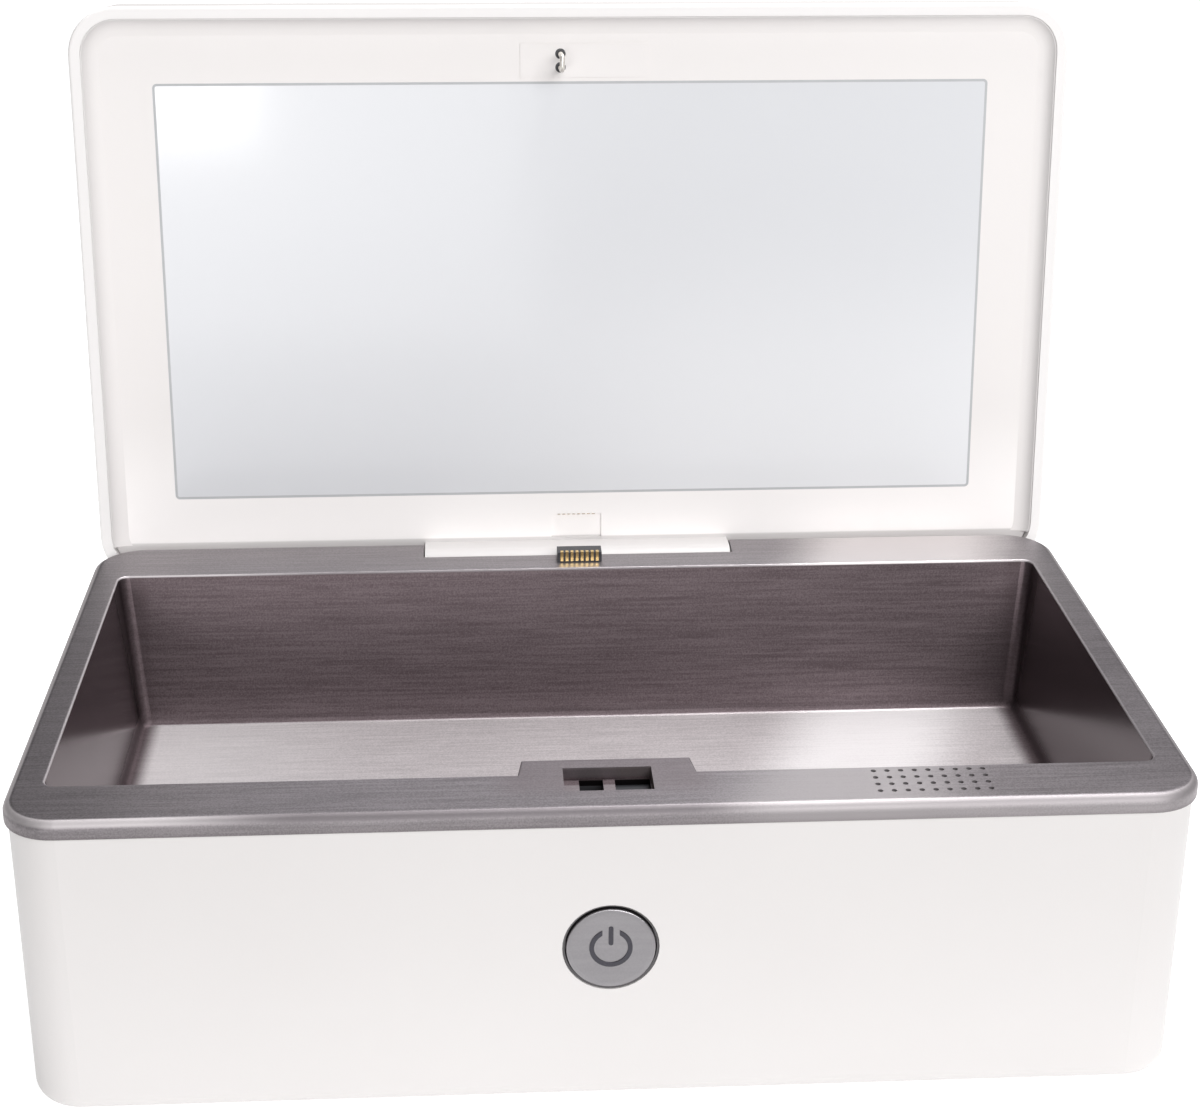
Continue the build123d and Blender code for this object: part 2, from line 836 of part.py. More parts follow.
with BuildPart() as start_button:
    rods(facing_front(button_front, button_z), [(0, 0)], button_radius, -(button_flange_front - button_front))
    fillet(start_button.faces().sort_by(Axis.Y)[0].edges(), button_edge_radius)
    rods(
        facing_front(button_back, button_z),
        [(0, 0)],
        button_radius + button_flange_reach,
        button_flange,
    )
    rods(
        facing_front(button_back, button_z),
        [(0, 0)],
        button_radius - button_skirt,
        button_back - button_front - button_face,
        Mode.SUBTRACT,
    )
    rods(
        facing_front(button_back, button_z),
        [(0, 0)],
        button_hub_radius,
        button_back - button_front - button_face,
    )
    with Locations((0, button_front + button_dish - dish_sphere_radius, button_z)):
        Sphere(dish_sphere_radius, mode=Mode.SUBTRACT)
    symbol_prism(button_front, symbol_back, Mode.SUBTRACT)
save(start_button, "start_button")

with BuildPart() as button_symbol:
    symbol_prism(symbol_front, symbol_back)
save(button_symbol, "button_symbol")

with BuildPart() as button_spring:
    coil(
        (0, button_front + button_face, button_z),
        (0, 1, 0),
        button_spring_radius,
        button_spring_wire,
        switch_board_front - button_front - button_face,
        button_spring_turns,
    )
save(button_spring, "button_spring")

with BuildPart() as button_switch:
    slab(
        facing_front(switch_board_front, button_z),
        (-switch_side / 2, switch_side / 2),
        (-switch_side / 2, switch_side / 2),
        switch_height,
    )
    rods(facing_front(switch_front, button_z), [(0, 0)], switch_plunger_radius, switch_plunger_height)
save(button_switch, "button_switch")

with BuildPart() as switch_board:
    slab(
        facing_front(bracket_front, button_z),
        (-switch_board_width / 2, switch_board_width / 2),
        (-switch_board_height / 2, switch_board_height / 2),
        board_thickness,
    )
    rods(facing_front(bracket_front, button_z), peg_places, peg_radius, board_thickness, Mode.SUBTRACT)
save(switch_board, "switch_board")

with BuildPart() as button_bracket:
    slab(
        facing_front(bracket_front, button_z),
        (-bracket_width / 2, bracket_width / 2),
        (-bracket_height / 2, bracket_height / 2),
        -bracket_thickness,
    )
    rods(facing_front(bracket_front, button_z), peg_places, peg_radius, board_thickness)
    rods(
        facing_front(bracket_front, button_z),
        bracket_screw_places,
        small_screw_radius + seat_gap,
        -bracket_thickness,
        Mode.SUBTRACT,
    )
save(button_bracket, "button_bracket")

with BuildPart() as bracket_screws:
    screws(
        Plane(origin=(0, bracket_front + bracket_thickness, button_z), x_dir=(-1, 0, 0), z_dir=(0, 1, 0)),
        bracket_screw_places,
        small_screw_radius,
        small_screw_length,
        small_head_radius,
        small_head_height,
    )
save(bracket_screws, "bracket_screws")

# Latch under the pocket: housing, sliding bolt, spring and screws
bolt_section_y = (bolt_y - bolt_body_width / 2, bolt_y + bolt_body_width / 2)
with BuildPart() as latch_housing:
    slab(
        level(latch_bottom),
        (latch_left, latch_right),
        (slot_range[0] - latch_wall, slot_range[1] + latch_wall),
        latch_top - latch_bottom,
    )
    slab(
        level(latch_ear_top),
        (latch_left - latch_ear, latch_right + latch_ear),
        (front_y + latch_ear_y - latch_ear / 2, front_y + latch_ear_y + latch_ear / 2),
        -latch_wall,
    )
    # room for the striker, right through
    slab(
        level(latch_bottom),
        (striker_slot_left, striker_slot_right),
        slot_range,
        latch_top - latch_bottom,
        Mode.SUBTRACT,
    )
    # runway of the bolt and its spring
    slab(
        level(bolt_top - bolt_body_height - bolt_play),
        (bolt_left, latch_room_right),
        (bolt_section_y[0] - bolt_play, bolt_section_y[1] + bolt_play),
        bolt_body_height + 2 * bolt_play,
        Mode.SUBTRACT,
    )
    # mouth for the bolt's nose
    slab(
        level(bolt_top - bolt_nose_height - bolt_play),
        (striker_slot_right, bolt_left),
        (bolt_y - bolt_nose_width / 2 - bolt_play, bolt_y + bolt_nose_width / 2 + bolt_play),
        bolt_nose_height + 2 * bolt_play,
        Mode.SUBTRACT,
    )
    # sight slot over the bolt
    slab(
        level(bolt_top),
        (bolt_slot_left, bolt_slot_right),
        (bolt_section_y[0] - bolt_play, bolt_section_y[1] + bolt_play),
        latch_top - bolt_top,
        Mode.SUBTRACT,
    )
    rods(
        level(latch_ear_top),
        latch_screw_places,
        small_screw_radius + seat_gap,
        -latch_wall,
        Mode.SUBTRACT,
    )
save(latch_housing, "latch_housing")

with BuildPart() as latch_bolt:
    slab(
        level(bolt_top),
        (bolt_left, bolt_right),
        bolt_section_y,
        -bolt_body_height,
    )
    nose_left = striker_x - bolt_nose_past_wire
    with BuildSketch(Plane(origin=(0, bolt_y, 0), x_dir=(1, 0, 0), z_dir=(0, -1, 0))):
        with BuildLine():
            Polyline(
                (bolt_left, bolt_top),
                (nose_left + bolt_cam, bolt_top),
                (nose_left, bolt_top - bolt_cam),
                (nose_left, bolt_top - bolt_nose_height + bolt_cam),
                (nose_left + bolt_cam, bolt_top - bolt_nose_height),
                (bolt_left, bolt_top - bolt_nose_height),
                close=True,
            )
        make_face()
    extrude(amount=bolt_nose_width / 2, both=True)
save(latch_bolt, "latch_bolt")

with BuildPart() as latch_spring:
    coil(
        (bolt_right, bolt_y, bolt_mid_z),
        (1, 0, 0),
        latch_spring_radius,
        latch_spring_wire,
        latch_spring_room,
        latch_spring_turns,
    )
save(latch_spring, "latch_spring")

with BuildPart() as latch_screws:
    screws(
        Plane(origin=(0, 0, latch_ear_top - latch_wall), x_dir=(1, 0, 0), z_dir=(0, 0, -1)),
        [(x, -y) for x, y in latch_screw_places],
        small_screw_radius,
        latch_screw_length,
        small_head_radius,
        small_head_height,
    )
save(latch_screws, "latch_screws")

# Sounder under the grille, with its felt, cone and clamp
with BuildPart() as sounder_felt:
    with BuildSketch(level(sounder_top)):
        with Locations((grille_x, sounder_mid_y)):
            Rectangle(sounder_length, sounder_width)
            Rectangle(sounder_cone_length, sounder_cone_width, mode=Mode.SUBTRACT)
    extrude(amount=felt_thickness)
save(sounder_felt, "sounder_felt")

with BuildPart() as sounder:
    with BuildSketch(level(sounder_bottom)):
        with Locations((grille_x, sounder_mid_y)):
            Rectangle(sounder_length, sounder_width)
    extrude(amount=sounder_height)
    with BuildSketch(level(sounder_top)):
        with Locations((grille_x, sounder_mid_y)):
            SlotOverall(sounder_cone_length, sounder_cone_width)
    extrude(amount=-sounder_rim, mode=Mode.SUBTRACT)
save(sounder, "sounder")

with BuildPart() as sounder_cone:
    with BuildSketch(level(sounder_top - sounder_rim)):
        with Locations((grille_x, sounder_mid_y)):
            SlotOverall(sounder_cone_length, sounder_cone_width)
    extrude(amount=sounder_cone_thickness)
save(sounder_cone, "sounder_cone")

with BuildPart() as sounder_clamp:
    with BuildSketch(level(sounder_bottom)):
        with Locations((grille_x, sounder_mid_y)):
            SlotOverall(sounder_length + 2 * clamp_foot, clamp_foot)
    extrude(amount=-clamp_thickness)
    rods(
        level(sounder_bottom),
        clamp_screw_places,
        small_screw_radius + seat_gap,
        -clamp_thickness,
        Mode.SUBTRACT,
    )
save(sounder_clamp, "sounder_clamp")

with BuildPart() as clamp_screws:
    screws(
        Plane(origin=(0, 0, sounder_bottom - clamp_thickness), x_dir=(1, 0, 0), z_dir=(0, 0, -1)),
        [(x, -y) for x, y in clamp_screw_places],
        small_screw_radius,
        small_screw_length,
        small_head_radius,
        small_head_height,
    )
save(clamp_screws, "clamp_screws")

# Contact block behind the chamber, with its fingers and ribbon lead
with BuildPart() as contact_block:
    slab(
        level(contact_bottom),
        (-contact_width / 2, contact_width / 2),
        (contact_front, contact_back),
        contact_top - contact_bottom,
    )
    slab(
        level(rim_top),
        (-contact_width / 2, contact_width / 2),
        (contact_front, contact_front + contact_head_depth),
        contact_height,
    )
save(contact_block, "contact_block")

with BuildPart() as contact_fingers:
    for x in finger_places:
        slab(
            side_on(x - finger_width / 2),
            (contact_front - finger_thickness, contact_front),
            (rim_top + finger_margin, contact_top + finger_thickness),
            finger_width,
        )
        slab(
            side_on(x - finger_width / 2),
            (contact_front, contact_front + finger_hook),
            (contact_top, contact_top + finger_thickness),
            finger_width,
        )
save(contact_fingers, "contact_fingers")

lead_y = (contact_front + contact_back) / 2
lead_z = control_top + lead_connector_height / 2
with BuildPart() as base_ribbon:
    flat_lead(
        side_on(0),
        [(lead_y, contact_bottom), (lead_y, lead_z), (control_back - lead_connector_depth, lead_z)],
        lead_bend,
        ribbon_thickness,
        ribbon_width,
    )
save(base_ribbon, "base_ribbon")

switch_lead_y = (switch_board_front + bracket_front) / 2
switch_lead_end = control_front + lead_connector_depth
with BuildPart() as switch_lead:
    flat_lead(
        side_on(0),
        [
            (switch_lead_y, button_z - switch_board_height / 2),
            (switch_lead_y, lead_z),
            (switch_lead_end, lead_z),
        ],
        lead_bend,
        ribbon_thickness,
        ribbon_width,
    )
save(switch_lead, "switch_lead")

# Hinge bushes in the tub's cheeks and pins in the lid's knuckle
with BuildPart() as hinge_bushes:
    for side in (-1, 1):
        seat = Plane(origin=(side * notch_half, hinge_y, hinge_z), z_dir=(side, 0, 0))
        rods(seat, [(0, 0)], bush_radius, bush_length)
        rods(seat, [(0, 0)], hinge_pin_radius + pin_play, bush_length, Mode.SUBTRACT)
save(hinge_bushes, "hinge_bushes")

with BuildPart() as hinge_pins:
    for side in (-1, 1):
        pin_end = Plane(origin=(side * (notch_half + bush_length), hinge_y, hinge_z), z_dir=(-side, 0, 0))
        rods(pin_end, [(0, 0)], hinge_pin_radius, hinge_pin_length)
save(hinge_pins, "hinge_pins")

# Control board on the base cover, its parts and screws
def on_board(share_x, share_y):
    """A place on the control board, from its left front corner in shares of its width and depth."""
    return (
        control_left + share_x * (control_right - control_left),
        control_front + share_y * (control_back - control_front),
    )


with BuildPart() as control_board:
    slab(
        level(control_bottom),
        (control_left, control_right),
        (control_front, control_back),
        board_thickness,
    )
    slab(
        level(control_bottom),
        (socket_x - socket_tab_width / 2, socket_x + socket_tab_width / 2),
        (control_back, body_back - body_wall - slide_gap),
        board_thickness,
    )
    rods(
        level(control_bottom),
        control_screw_places,
        small_screw_radius + seat_gap,
        board_thickness,
        Mode.SUBTRACT,
    )
save(control_board, "control_board")

with BuildPart() as board_screws:
    screws(
        level(control_top),
        control_screw_places,
        small_screw_radius,
        board_screw_length,
        small_head_radius,
        small_head_height,
    )
save(board_screws, "board_screws")

with BuildPart() as board_parts:
    # the two ribbon connectors, each with its lead's end in its face
    for near, far in (
        (control_back - 2 * lead_connector_depth, control_back - lead_connector_depth),
        (switch_lead_end, switch_lead_end + lead_connector_depth),
    ):
        slab(
            level(control_top),
            (-lead_connector_width / 2, lead_connector_width / 2),
            (near, far),
            lead_connector_height,
        )
    for share_x, share_y, length, width, height in board_blocks:
        x, y = on_board(share_x, share_y)
        slab(level(control_top), (x - length / 2, x + length / 2), (y - width / 2, y + width / 2), height)
    rods(
        level(control_top),
        [on_board(*shares) for shares in capacitor_places],
        capacitor_radius,
        capacitor_height,
    )
save(board_parts, "board_parts")

# Charging socket at the back: oval metal shell and its tongue
with BuildPart() as socket_shell:
    with BuildSketch(facing_front(socket_mouth, socket_mid_z)):
        with Locations((socket_x, 0)):
            SlotOverall(socket_width, socket_height)
    extrude(amount=socket_length)
    with BuildSketch(facing_front(socket_mouth, socket_mid_z)):
        with Locations((socket_x, 0)):
            SlotOverall(socket_width - 2 * socket_sheet, socket_height - 2 * socket_sheet)
    extrude(amount=socket_length - socket_sheet, mode=Mode.SUBTRACT)
save(socket_shell, "socket_shell")

with BuildPart() as socket_tongue:
    slab(
        facing_front(socket_mouth - socket_length + socket_sheet, socket_mid_z),
        (socket_x - tongue_width / 2, socket_x + tongue_width / 2),
        (-tongue_sheet / 2, tongue_sheet / 2),
        -(socket_length - 2 * socket_sheet - tongue_set_back),
    )
save(socket_tongue, "socket_tongue")

# Cells in their open holder, on the base cover
cell_y = (front_y + cell_front, front_y + cell_front + 2 * cell_radius + cell_gap)
cell_mid_z = cover_top + holder_wall + cell_radius
holder_inner_y = (cell_y[0] - cell_radius - assembly_gap, cell_y[1] + cell_radius + assembly_gap)
with BuildPart() as battery_holder:
    slab(
        level(cover_top),
        (holder_x[0] - holder_wall, holder_x[1] + holder_wall),
        (holder_inner_y[0] - holder_wall, holder_inner_y[1] + holder_wall),
        holder_height,
    )
    slab(
        level(cover_top + holder_wall),
        holder_x,
        holder_inner_y,
        holder_height,
        Mode.SUBTRACT,
    )
save(battery_holder, "battery_holder")

with BuildPart() as battery_cells:
    rods(
        Plane(origin=(cell_left, 0, cell_mid_z), x_dir=(0, 1, 0), z_dir=(1, 0, 0)),
        [(y, 0) for y in cell_y],
        cell_radius,
        cell_length,
    )
save(battery_cells, "battery_cells")

with BuildPart() as cell_contacts:
    for x in (holder_x[0], cell_left + cell_length):
        for y in cell_y:
            slab(
                side_on(x),
                (y - cell_contact_width / 2, y + cell_contact_width / 2),
                (cover_top + holder_wall, cover_top + holder_height),
                cell_contact_sheet,
            )
save(cell_contacts, "cell_contacts")

# Lid shell: tray with rounded outer edges, posts inside and clear of the rim as it swings
with BuildPart() as swing_relief:
    with BuildSketch(Plane(origin=(0, hinge_y, hinge_z), x_dir=(1, 0, 0), z_dir=(0, 0, 1))):
        with BuildLine():
            Polyline(
                (-overall_width / 2 + relief_taper_end, 0),
                (-overall_width / 2 + relief_taper_end, lip_distance),
                (-overall_width / 2 + relief_taper_start, relief_radius),
                (overall_width / 2 - relief_taper_start, relief_radius),
                (overall_width / 2 - relief_taper_end, lip_distance),
                (overall_width / 2 - relief_taper_end, 0),
                close=True,
            )
        make_face()
    revolve(axis=hinge_axis)

with BuildPart() as lid_shell:
    with BuildSketch(in_lid(lid_thickness)):
        lid_outline(0)
    extrude(amount=lid_thickness)
    fillet(lid_shell.faces().sort_by(hinge_frame_axis)[0].edges(), lid_edge_radius)
    fillet(lid_shell.faces().sort_by(hinge_frame_axis)[-1].edges(), lid_lip_radius)
    with BuildSketch(in_lid(lid_inner_depth)):
        lid_outline(lid_wall)
    extrude(amount=lid_inner_depth, mode=Mode.SUBTRACT)
    rods(in_lid(lid_inner_depth), post_places, post_radius, lid_inner_depth - frame_back)
    rods(
        in_lid(frame_back + frame_pin_length + frame_pin_spare),
        post_places,
        frame_pin_radius,
        frame_pin_length + frame_pin_spare,
        Mode.SUBTRACT,
    )
    rods(in_lid(lid_inner_depth), lamp_screw_places, spreader_post_radius, lid_inner_depth - spreader_back)
    rods(
        in_lid(spreader_back),
        lamp_screw_places,
        small_screw_radius,
        -(lamp_screw_length - lamp_board_thickness - spreader_thickness),
        Mode.SUBTRACT,
    )
    # gap in the rear wall for the knuckle's web
    slab(
        in_lid(frame_back + assembly_gap),
        (-notch_half, notch_half),
        (-2 * rear_reach, lid_wall),
        frame_back + lip_distance,
        Mode.SUBTRACT,
    )
    add(swing_relief.part, mode=Mode.SUBTRACT)
save(lid_shell, "lid_shell")

# Lid frame round the window, with the hinge knuckle, push pins and striker pad
with BuildPart() as lid_frame:
    with BuildSketch(in_lid(frame_back)):
        lid_outline(lid_wall + seat_gap)
    extrude(amount=frame_thickness)
    fillet(lid_frame.faces().sort_by(hinge_frame_axis)[-1].edges(), frame_edge_radius)
    slab(
        in_lid(frame_recess),
        (striker_pad_left, striker_pad_right),
        (striker_mid_v - striker_pad_depth / 2, striker_mid_v + striker_pad_depth / 2),
        striker_pad_height,
    )
    # pocket round the window, with a ledge behind the glass
    with BuildSketch(in_lid(ledge_bottom)):
        with Locations((0, window_mid)):
            RectangleRounded(
                opening_width + 2 * ledge_wall,
                opening_height + 2 * ledge_wall,
                window_corner_radius + gasket_width + ledge_wall,
            )
    extrude(amount=ledge_bottom - frame_back)
    rods(in_lid(frame_back), post_places, frame_pin_radius, -frame_pin_length)
    # knuckle and the web that carries it
    rods(
        Plane(origin=(-knuckle_half, hinge_y, hinge_z), z_dir=(1, 0, 0)),
        [(0, 0)],
        knuckle_radius,
        2 * knuckle_half,
    )
    slab(
        in_lid(frame_back),
        (-knuckle_half, knuckle_half),
        (-knuckle_radius, knuckle_radius),
        frame_back + lip_distance,
    )
    for side in (-1, 1):
        rods(
            Plane(origin=(side * knuckle_half, hinge_y, hinge_z), z_dir=(-side, 0, 0)),
            [(0, 0)],
            hinge_pin_radius,
            hinge_pin_length,
            Mode.SUBTRACT,
        )
    with BuildSketch(in_lid(ledge_front)):
        with Locations((0, window_mid)):
            RectangleRounded(opening_width, opening_height, window_corner_radius + gasket_width)
    extrude(amount=ledge_front, mode=Mode.SUBTRACT)
    slab(
        in_lid(ledge_bottom),
        (-window_width / 2 + window_ledge, window_width / 2 - window_ledge),
        (window_v[0] + window_ledge, window_v[1] - window_ledge),
        ledge_bottom,
        Mode.SUBTRACT,
    )
    # pocket over the contact block
    slab(
        in_lid(lid_pocket_depth),
        (-contact_width / 2 - pocket_gap, contact_width / 2 + pocket_gap),
        lid_pocket_v,
        lid_pocket_depth,
        Mode.SUBTRACT,
    )
    for v in striker_leg_v:
        rods(in_lid(frame_back), [(striker_x, v)], striker_wire_radius, frame_back, Mode.SUBTRACT)
    rods(
        in_lid(ledge_bottom),
        reflector_screw_places,
        reflector_screw_radius,
        reflector_screw_length,
        Mode.SUBTRACT,
    )
save(lid_frame, "lid_frame")

# Window glass in its gasket
with BuildPart() as lid_window:
    with BuildSketch(in_lid(frame_recess + window_thickness)):
        with Locations((0, window_mid)):
            RectangleRounded(window_width, window_height, window_corner_radius)
    extrude(amount=window_thickness)
save(lid_window, "lid_window")

with BuildPart() as window_gasket:
    with BuildSketch(in_lid(ledge_front)):
        with Locations((0, window_mid)):
            RectangleRounded(opening_width, opening_height, window_corner_radius + gasket_width)
    extrude(amount=ledge_front - frame_recess)
    with BuildSketch(in_lid(frame_recess + window_thickness)):
        with Locations((0, window_mid)):
            RectangleRounded(window_width, window_height, window_corner_radius)
    extrude(amount=window_thickness, mode=Mode.SUBTRACT)
    slab(
        in_lid(ledge_front),
        (-window_width / 2 + gasket_bed_width, window_width / 2 - gasket_bed_width),
        (window_v[0] + gasket_bed_width, window_v[1] - gasket_bed_width),
        ledge_front,
        Mode.SUBTRACT,
    )
save(window_gasket, "window_gasket")

# Striker: a wire staple through the frame
with BuildPart() as lid_striker:
    striker_plane = Plane(
        origin=hinge_frame.from_local_coords((striker_x, 0, 0)),
        x_dir=hinge_frame.y_dir,
        z_dir=hinge_frame.x_dir,
    )
    root_m = -(lip_distance + frame_recess + striker_root)
    tip_m = -(lip_distance + frame_recess) + striker_reach - striker_wire_radius
    with BuildLine(striker_plane) as staple:
        FilletPolyline(
            (striker_leg_v[0], root_m),
            (striker_leg_v[0], tip_m),
            (striker_leg_v[1], tip_m),
            (striker_leg_v[1], root_m),
            radius=striker_bend,
        )
    with BuildSketch(Plane(origin=staple.line @ 0, z_dir=staple.line % 0)):
        Circle(striker_wire_radius)
    sweep(path=staple.line)
save(lid_striker, "lid_striker")

# Pads on the wall of the lid's pocket that faces the hinge, and the ribbon lead to the lamp board
with BuildPart() as lid_contacts:
    for x in finger_places:
        slab(
            in_lid(lid_pocket_depth),
            (x - finger_width / 2, x + finger_width / 2),
            (lid_pocket_v[1] - pad_thickness, lid_pocket_v[1]),
            lid_pocket_depth - frame_recess,
        )
save(lid_contacts, "lid_contacts")

ribbon_v = (lid_pocket_v[0] + lid_pocket_v[1]) / 2
ribbon_depth = (lamp_board_front + lamp_board_back) / 2
ribbon_start = -(lip_distance + frame_back)
ribbon_far = -(lip_distance + ribbon_depth)
lamp_board_edge = window_mid - lamp_board_height / 2
with BuildPart() as lid_ribbon:
    flat_lead(
        Plane(origin=hinge_frame.origin, x_dir=hinge_frame.y_dir, z_dir=hinge_frame.x_dir),
        [(ribbon_v, ribbon_start), (ribbon_v, ribbon_far), (lamp_board_edge, ribbon_far)],
        lead_bend,
        ribbon_thickness,
        ribbon_width,
    )
save(lid_ribbon, "lid_ribbon")

# Reflector behind the window, screwed to the frame's ledge
reflector_width = window_width - 2 * window_ledge
reflector_height = window_height - 2 * window_ledge
with BuildPart() as reflector:
    with BuildSketch(in_lid(ledge_bottom + reflector_sheet)):
        with Locations((0, window_mid)):
            Rectangle(opening_width + ledge_wall, opening_height + ledge_wall)
    extrude(amount=reflector_sheet)
    for grow, mode in ((reflector_sheet, Mode.ADD), (0, Mode.SUBTRACT)):
        with BuildSketch(in_lid(ledge_bottom)) as wide:
            with Locations((0, window_mid)):
                Rectangle(reflector_width + 2 * grow, reflector_height + 2 * grow)
        with BuildSketch(in_lid(reflector_back - reflector_sheet + grow)) as narrow:
            with Locations((0, window_mid)):
                Rectangle(
                    reflector_width - 2 * reflector_slope + 2 * grow,
                    reflector_height - 2 * reflector_slope + 2 * grow,
                )
        loft([wide.sketch, narrow.sketch], mode=mode)
    slab(
        in_lid(reflector_back),
        (
            -lamp_board_width / 2 - reflector_opening_margin,
            lamp_board_width / 2 + reflector_opening_margin,
        ),
        (
            window_mid - lamp_board_height / 2 - reflector_opening_margin,
            window_mid + lamp_board_height / 2 + reflector_opening_margin,
        ),
        reflector_depth,
        Mode.SUBTRACT,
    )
    rods(
        in_lid(ledge_bottom),
        reflector_screw_places,
        reflector_screw_radius + seat_gap,
        -reflector_sheet,
        Mode.SUBTRACT,
    )
save(reflector, "reflector")

with BuildPart() as reflector_screws:
    rods(
        in_lid(ledge_bottom + reflector_sheet + reflector_head_height),
        reflector_screw_places,
        reflector_head_radius,
        reflector_head_height,
    )
    rods(
        in_lid(ledge_bottom + reflector_sheet),
        reflector_screw_places,
        reflector_screw_radius,
        reflector_screw_length,
    )
save(reflector_screws, "reflector_screws")

# Lamp board with its lamps, and the plate that spreads their heat
with BuildPart() as lamp_board:
    slab(
        in_lid(lamp_board_back),
        (-lamp_board_width / 2, lamp_board_width / 2),
        (window_mid - lamp_board_height / 2, window_mid + lamp_board_height / 2),
        lamp_board_thickness,
    )
    rods(
        in_lid(lamp_board_back),
        lamp_screw_places,
        small_screw_radius + seat_gap,
        lamp_board_thickness,
        Mode.SUBTRACT,
    )
save(lamp_board, "lamp_board")

with BuildPart() as uv_lamps:
    with BuildSketch(in_lid(lamp_board_front)):
        with Locations(*lamp_places):
            Rectangle(lamp_side, lamp_side)
    extrude(amount=lamp_height)
    lamp_face = in_lid(lamp_board_front - lamp_height)
    with Locations(*[lamp_face.from_local_coords((x, v, 0)) for x, v in lamp_places]):
        Sphere(lamp_dome_radius)
save(uv_lamps, "uv_lamps")

with BuildPart() as heat_spreader:
    slab(
        in_lid(spreader_back),
        (-spreader_width / 2, spreader_width / 2),
        (window_mid - spreader_height / 2, window_mid + spreader_height / 2),
        spreader_thickness,
    )
    rods(
        in_lid(spreader_back),
        lamp_screw_places,
        small_screw_radius + seat_gap,
        spreader_thickness,
        Mode.SUBTRACT,
    )
save(heat_spreader, "heat_spreader")

with BuildPart() as lamp_screws:
    screws(
        in_lid(lamp_board_front),
        lamp_screw_places,
        small_screw_radius,
        lamp_screw_length,
        small_head_radius,
        small_head_height,
    )
save(lamp_screws, "lamp_screws")
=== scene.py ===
"""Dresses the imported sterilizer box: finishes, small added pieces, a studio and the camera."""
import logging
import math
from dataclasses import dataclass
from enum import Enum
from typing import ClassVar, Sequence

import bmesh
import bpy
from mathutils import Matrix, Vector


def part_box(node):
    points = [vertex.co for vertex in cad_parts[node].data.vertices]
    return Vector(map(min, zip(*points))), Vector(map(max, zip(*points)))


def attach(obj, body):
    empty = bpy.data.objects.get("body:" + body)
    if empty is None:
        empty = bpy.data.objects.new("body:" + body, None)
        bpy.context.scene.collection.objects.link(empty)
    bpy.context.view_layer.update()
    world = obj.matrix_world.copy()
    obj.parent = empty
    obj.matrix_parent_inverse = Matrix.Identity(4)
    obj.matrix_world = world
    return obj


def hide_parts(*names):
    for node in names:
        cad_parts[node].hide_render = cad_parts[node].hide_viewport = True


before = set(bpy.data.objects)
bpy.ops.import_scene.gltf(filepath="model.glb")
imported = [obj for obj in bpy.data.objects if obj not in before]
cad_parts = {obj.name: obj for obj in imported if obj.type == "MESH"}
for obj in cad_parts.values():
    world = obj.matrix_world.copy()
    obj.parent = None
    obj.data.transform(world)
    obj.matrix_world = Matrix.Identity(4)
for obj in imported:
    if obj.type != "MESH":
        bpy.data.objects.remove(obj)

LOG = logging.getLogger("sterilizer")
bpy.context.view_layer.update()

Colour = tuple[float, float, float]
Point = tuple[float, float, float]
Span = tuple[float, float]

EAST = Vector((1, 0, 0))
UP = Vector((0, 0, 1))
LID_LEAN = math.radians(5.75)
SHARP_ANGLE = math.radians(32)
MERGE_DISTANCE = 1e-7
SEAM_DISTANCE = 1e-6
NOISE_ROUGHNESS = 0.55
HEAD_CELLS = 7


class Wire:
    """A value that runs through a material's nodes and can be used in expressions."""

    def __init__(self, graph: "Graph", socket: bpy.types.NodeSocket) -> None:
        """Keep the socket and the graph it belongs to.

        Args:
            graph: The material's graph.
            socket: The output socket that carries the value.
        """
        self.graph = graph
        self.socket = socket

    def _math(self, operation: str, first: "Wire | float", second: "Wire | float") -> "Wire":
        """Result of one Math node."""
        return self.graph.node("ShaderNodeMath", {"operation": operation}, {0: first, 1: second})

    def __add__(self, other: "Wire | float") -> "Wire":
        """Sum of this value and another."""
        return self._math("ADD", self, other)

    def __radd__(self, other: float) -> "Wire":
        """Sum of a number and this value."""
        return self._math("ADD", other, self)

    def __sub__(self, other: "Wire | float") -> "Wire":
        """This value less another."""
        return self._math("SUBTRACT", self, other)

    def __rsub__(self, other: float) -> "Wire":
        """A number less this value."""
        return self._math("SUBTRACT", other, self)

    def __mul__(self, other: "Wire | float") -> "Wire":
        """Product of this value and another."""
        return self._math("MULTIPLY", self, other)

    def __rmul__(self, other: float) -> "Wire":
        """Product of a number and this value."""
        return self._math("MULTIPLY", other, self)

    def __abs__(self) -> "Wire":
        """This value without its sign."""
        return self._math("ABSOLUTE", self, 0.0)

    def __gt__(self, other: "Wire | float") -> "Wire":
        """1 where this value is the larger, otherwise 0."""
        return self._math("GREATER_THAN", self, other)

    def mixed(self, share: float, other: "Wire") -> "Wire":
        """This value's share, with another value for the rest."""
        return self * share + other * (1.0 - share)

    def spread(self, low: float, high: float) -> "Wire":
        """Stretch a value that runs from 0 to 1 over another range."""
        return self * (high - low) + low

    def swing(self, middle: float, reach: float) -> "Wire":
        """Stretch a value that runs from 0 to 1 evenly round a middle."""
        return self.spread(middle - reach, middle + reach)

    def ramp(self, start: float, end: float) -> "Wire":
        """Rise smoothly from 0 to 1, and stay there.

        Args:
            start: Value up to which it is 0.
            end: Value from which it is 1.

        Returns:
            The risen value.
        """
        return self.graph.node(
            "ShaderNodeMapRange",
            {"interpolation_type": "SMOOTHSTEP"},
            {"Value": self, "From Min": start, "From Max": end, "To Min": 0.0, "To Max": 1.0},
        )

    def repeated(self, period: float) -> "Wire":
        """Place within one period, from 0 to 1."""
        return self._math("FRACT", self * (1.0 / period), 0.0)


class Grain(Enum):
    """Directions in which a surface's fine texture is drawn out, as scale factors on X, Y and Z."""

    EVEN = (1.0, 1.0, 1.0)
    ALONG_X = (0.035, 1.0, 1.0)
    ALONG_Y = (1.0, 0.035, 1.0)


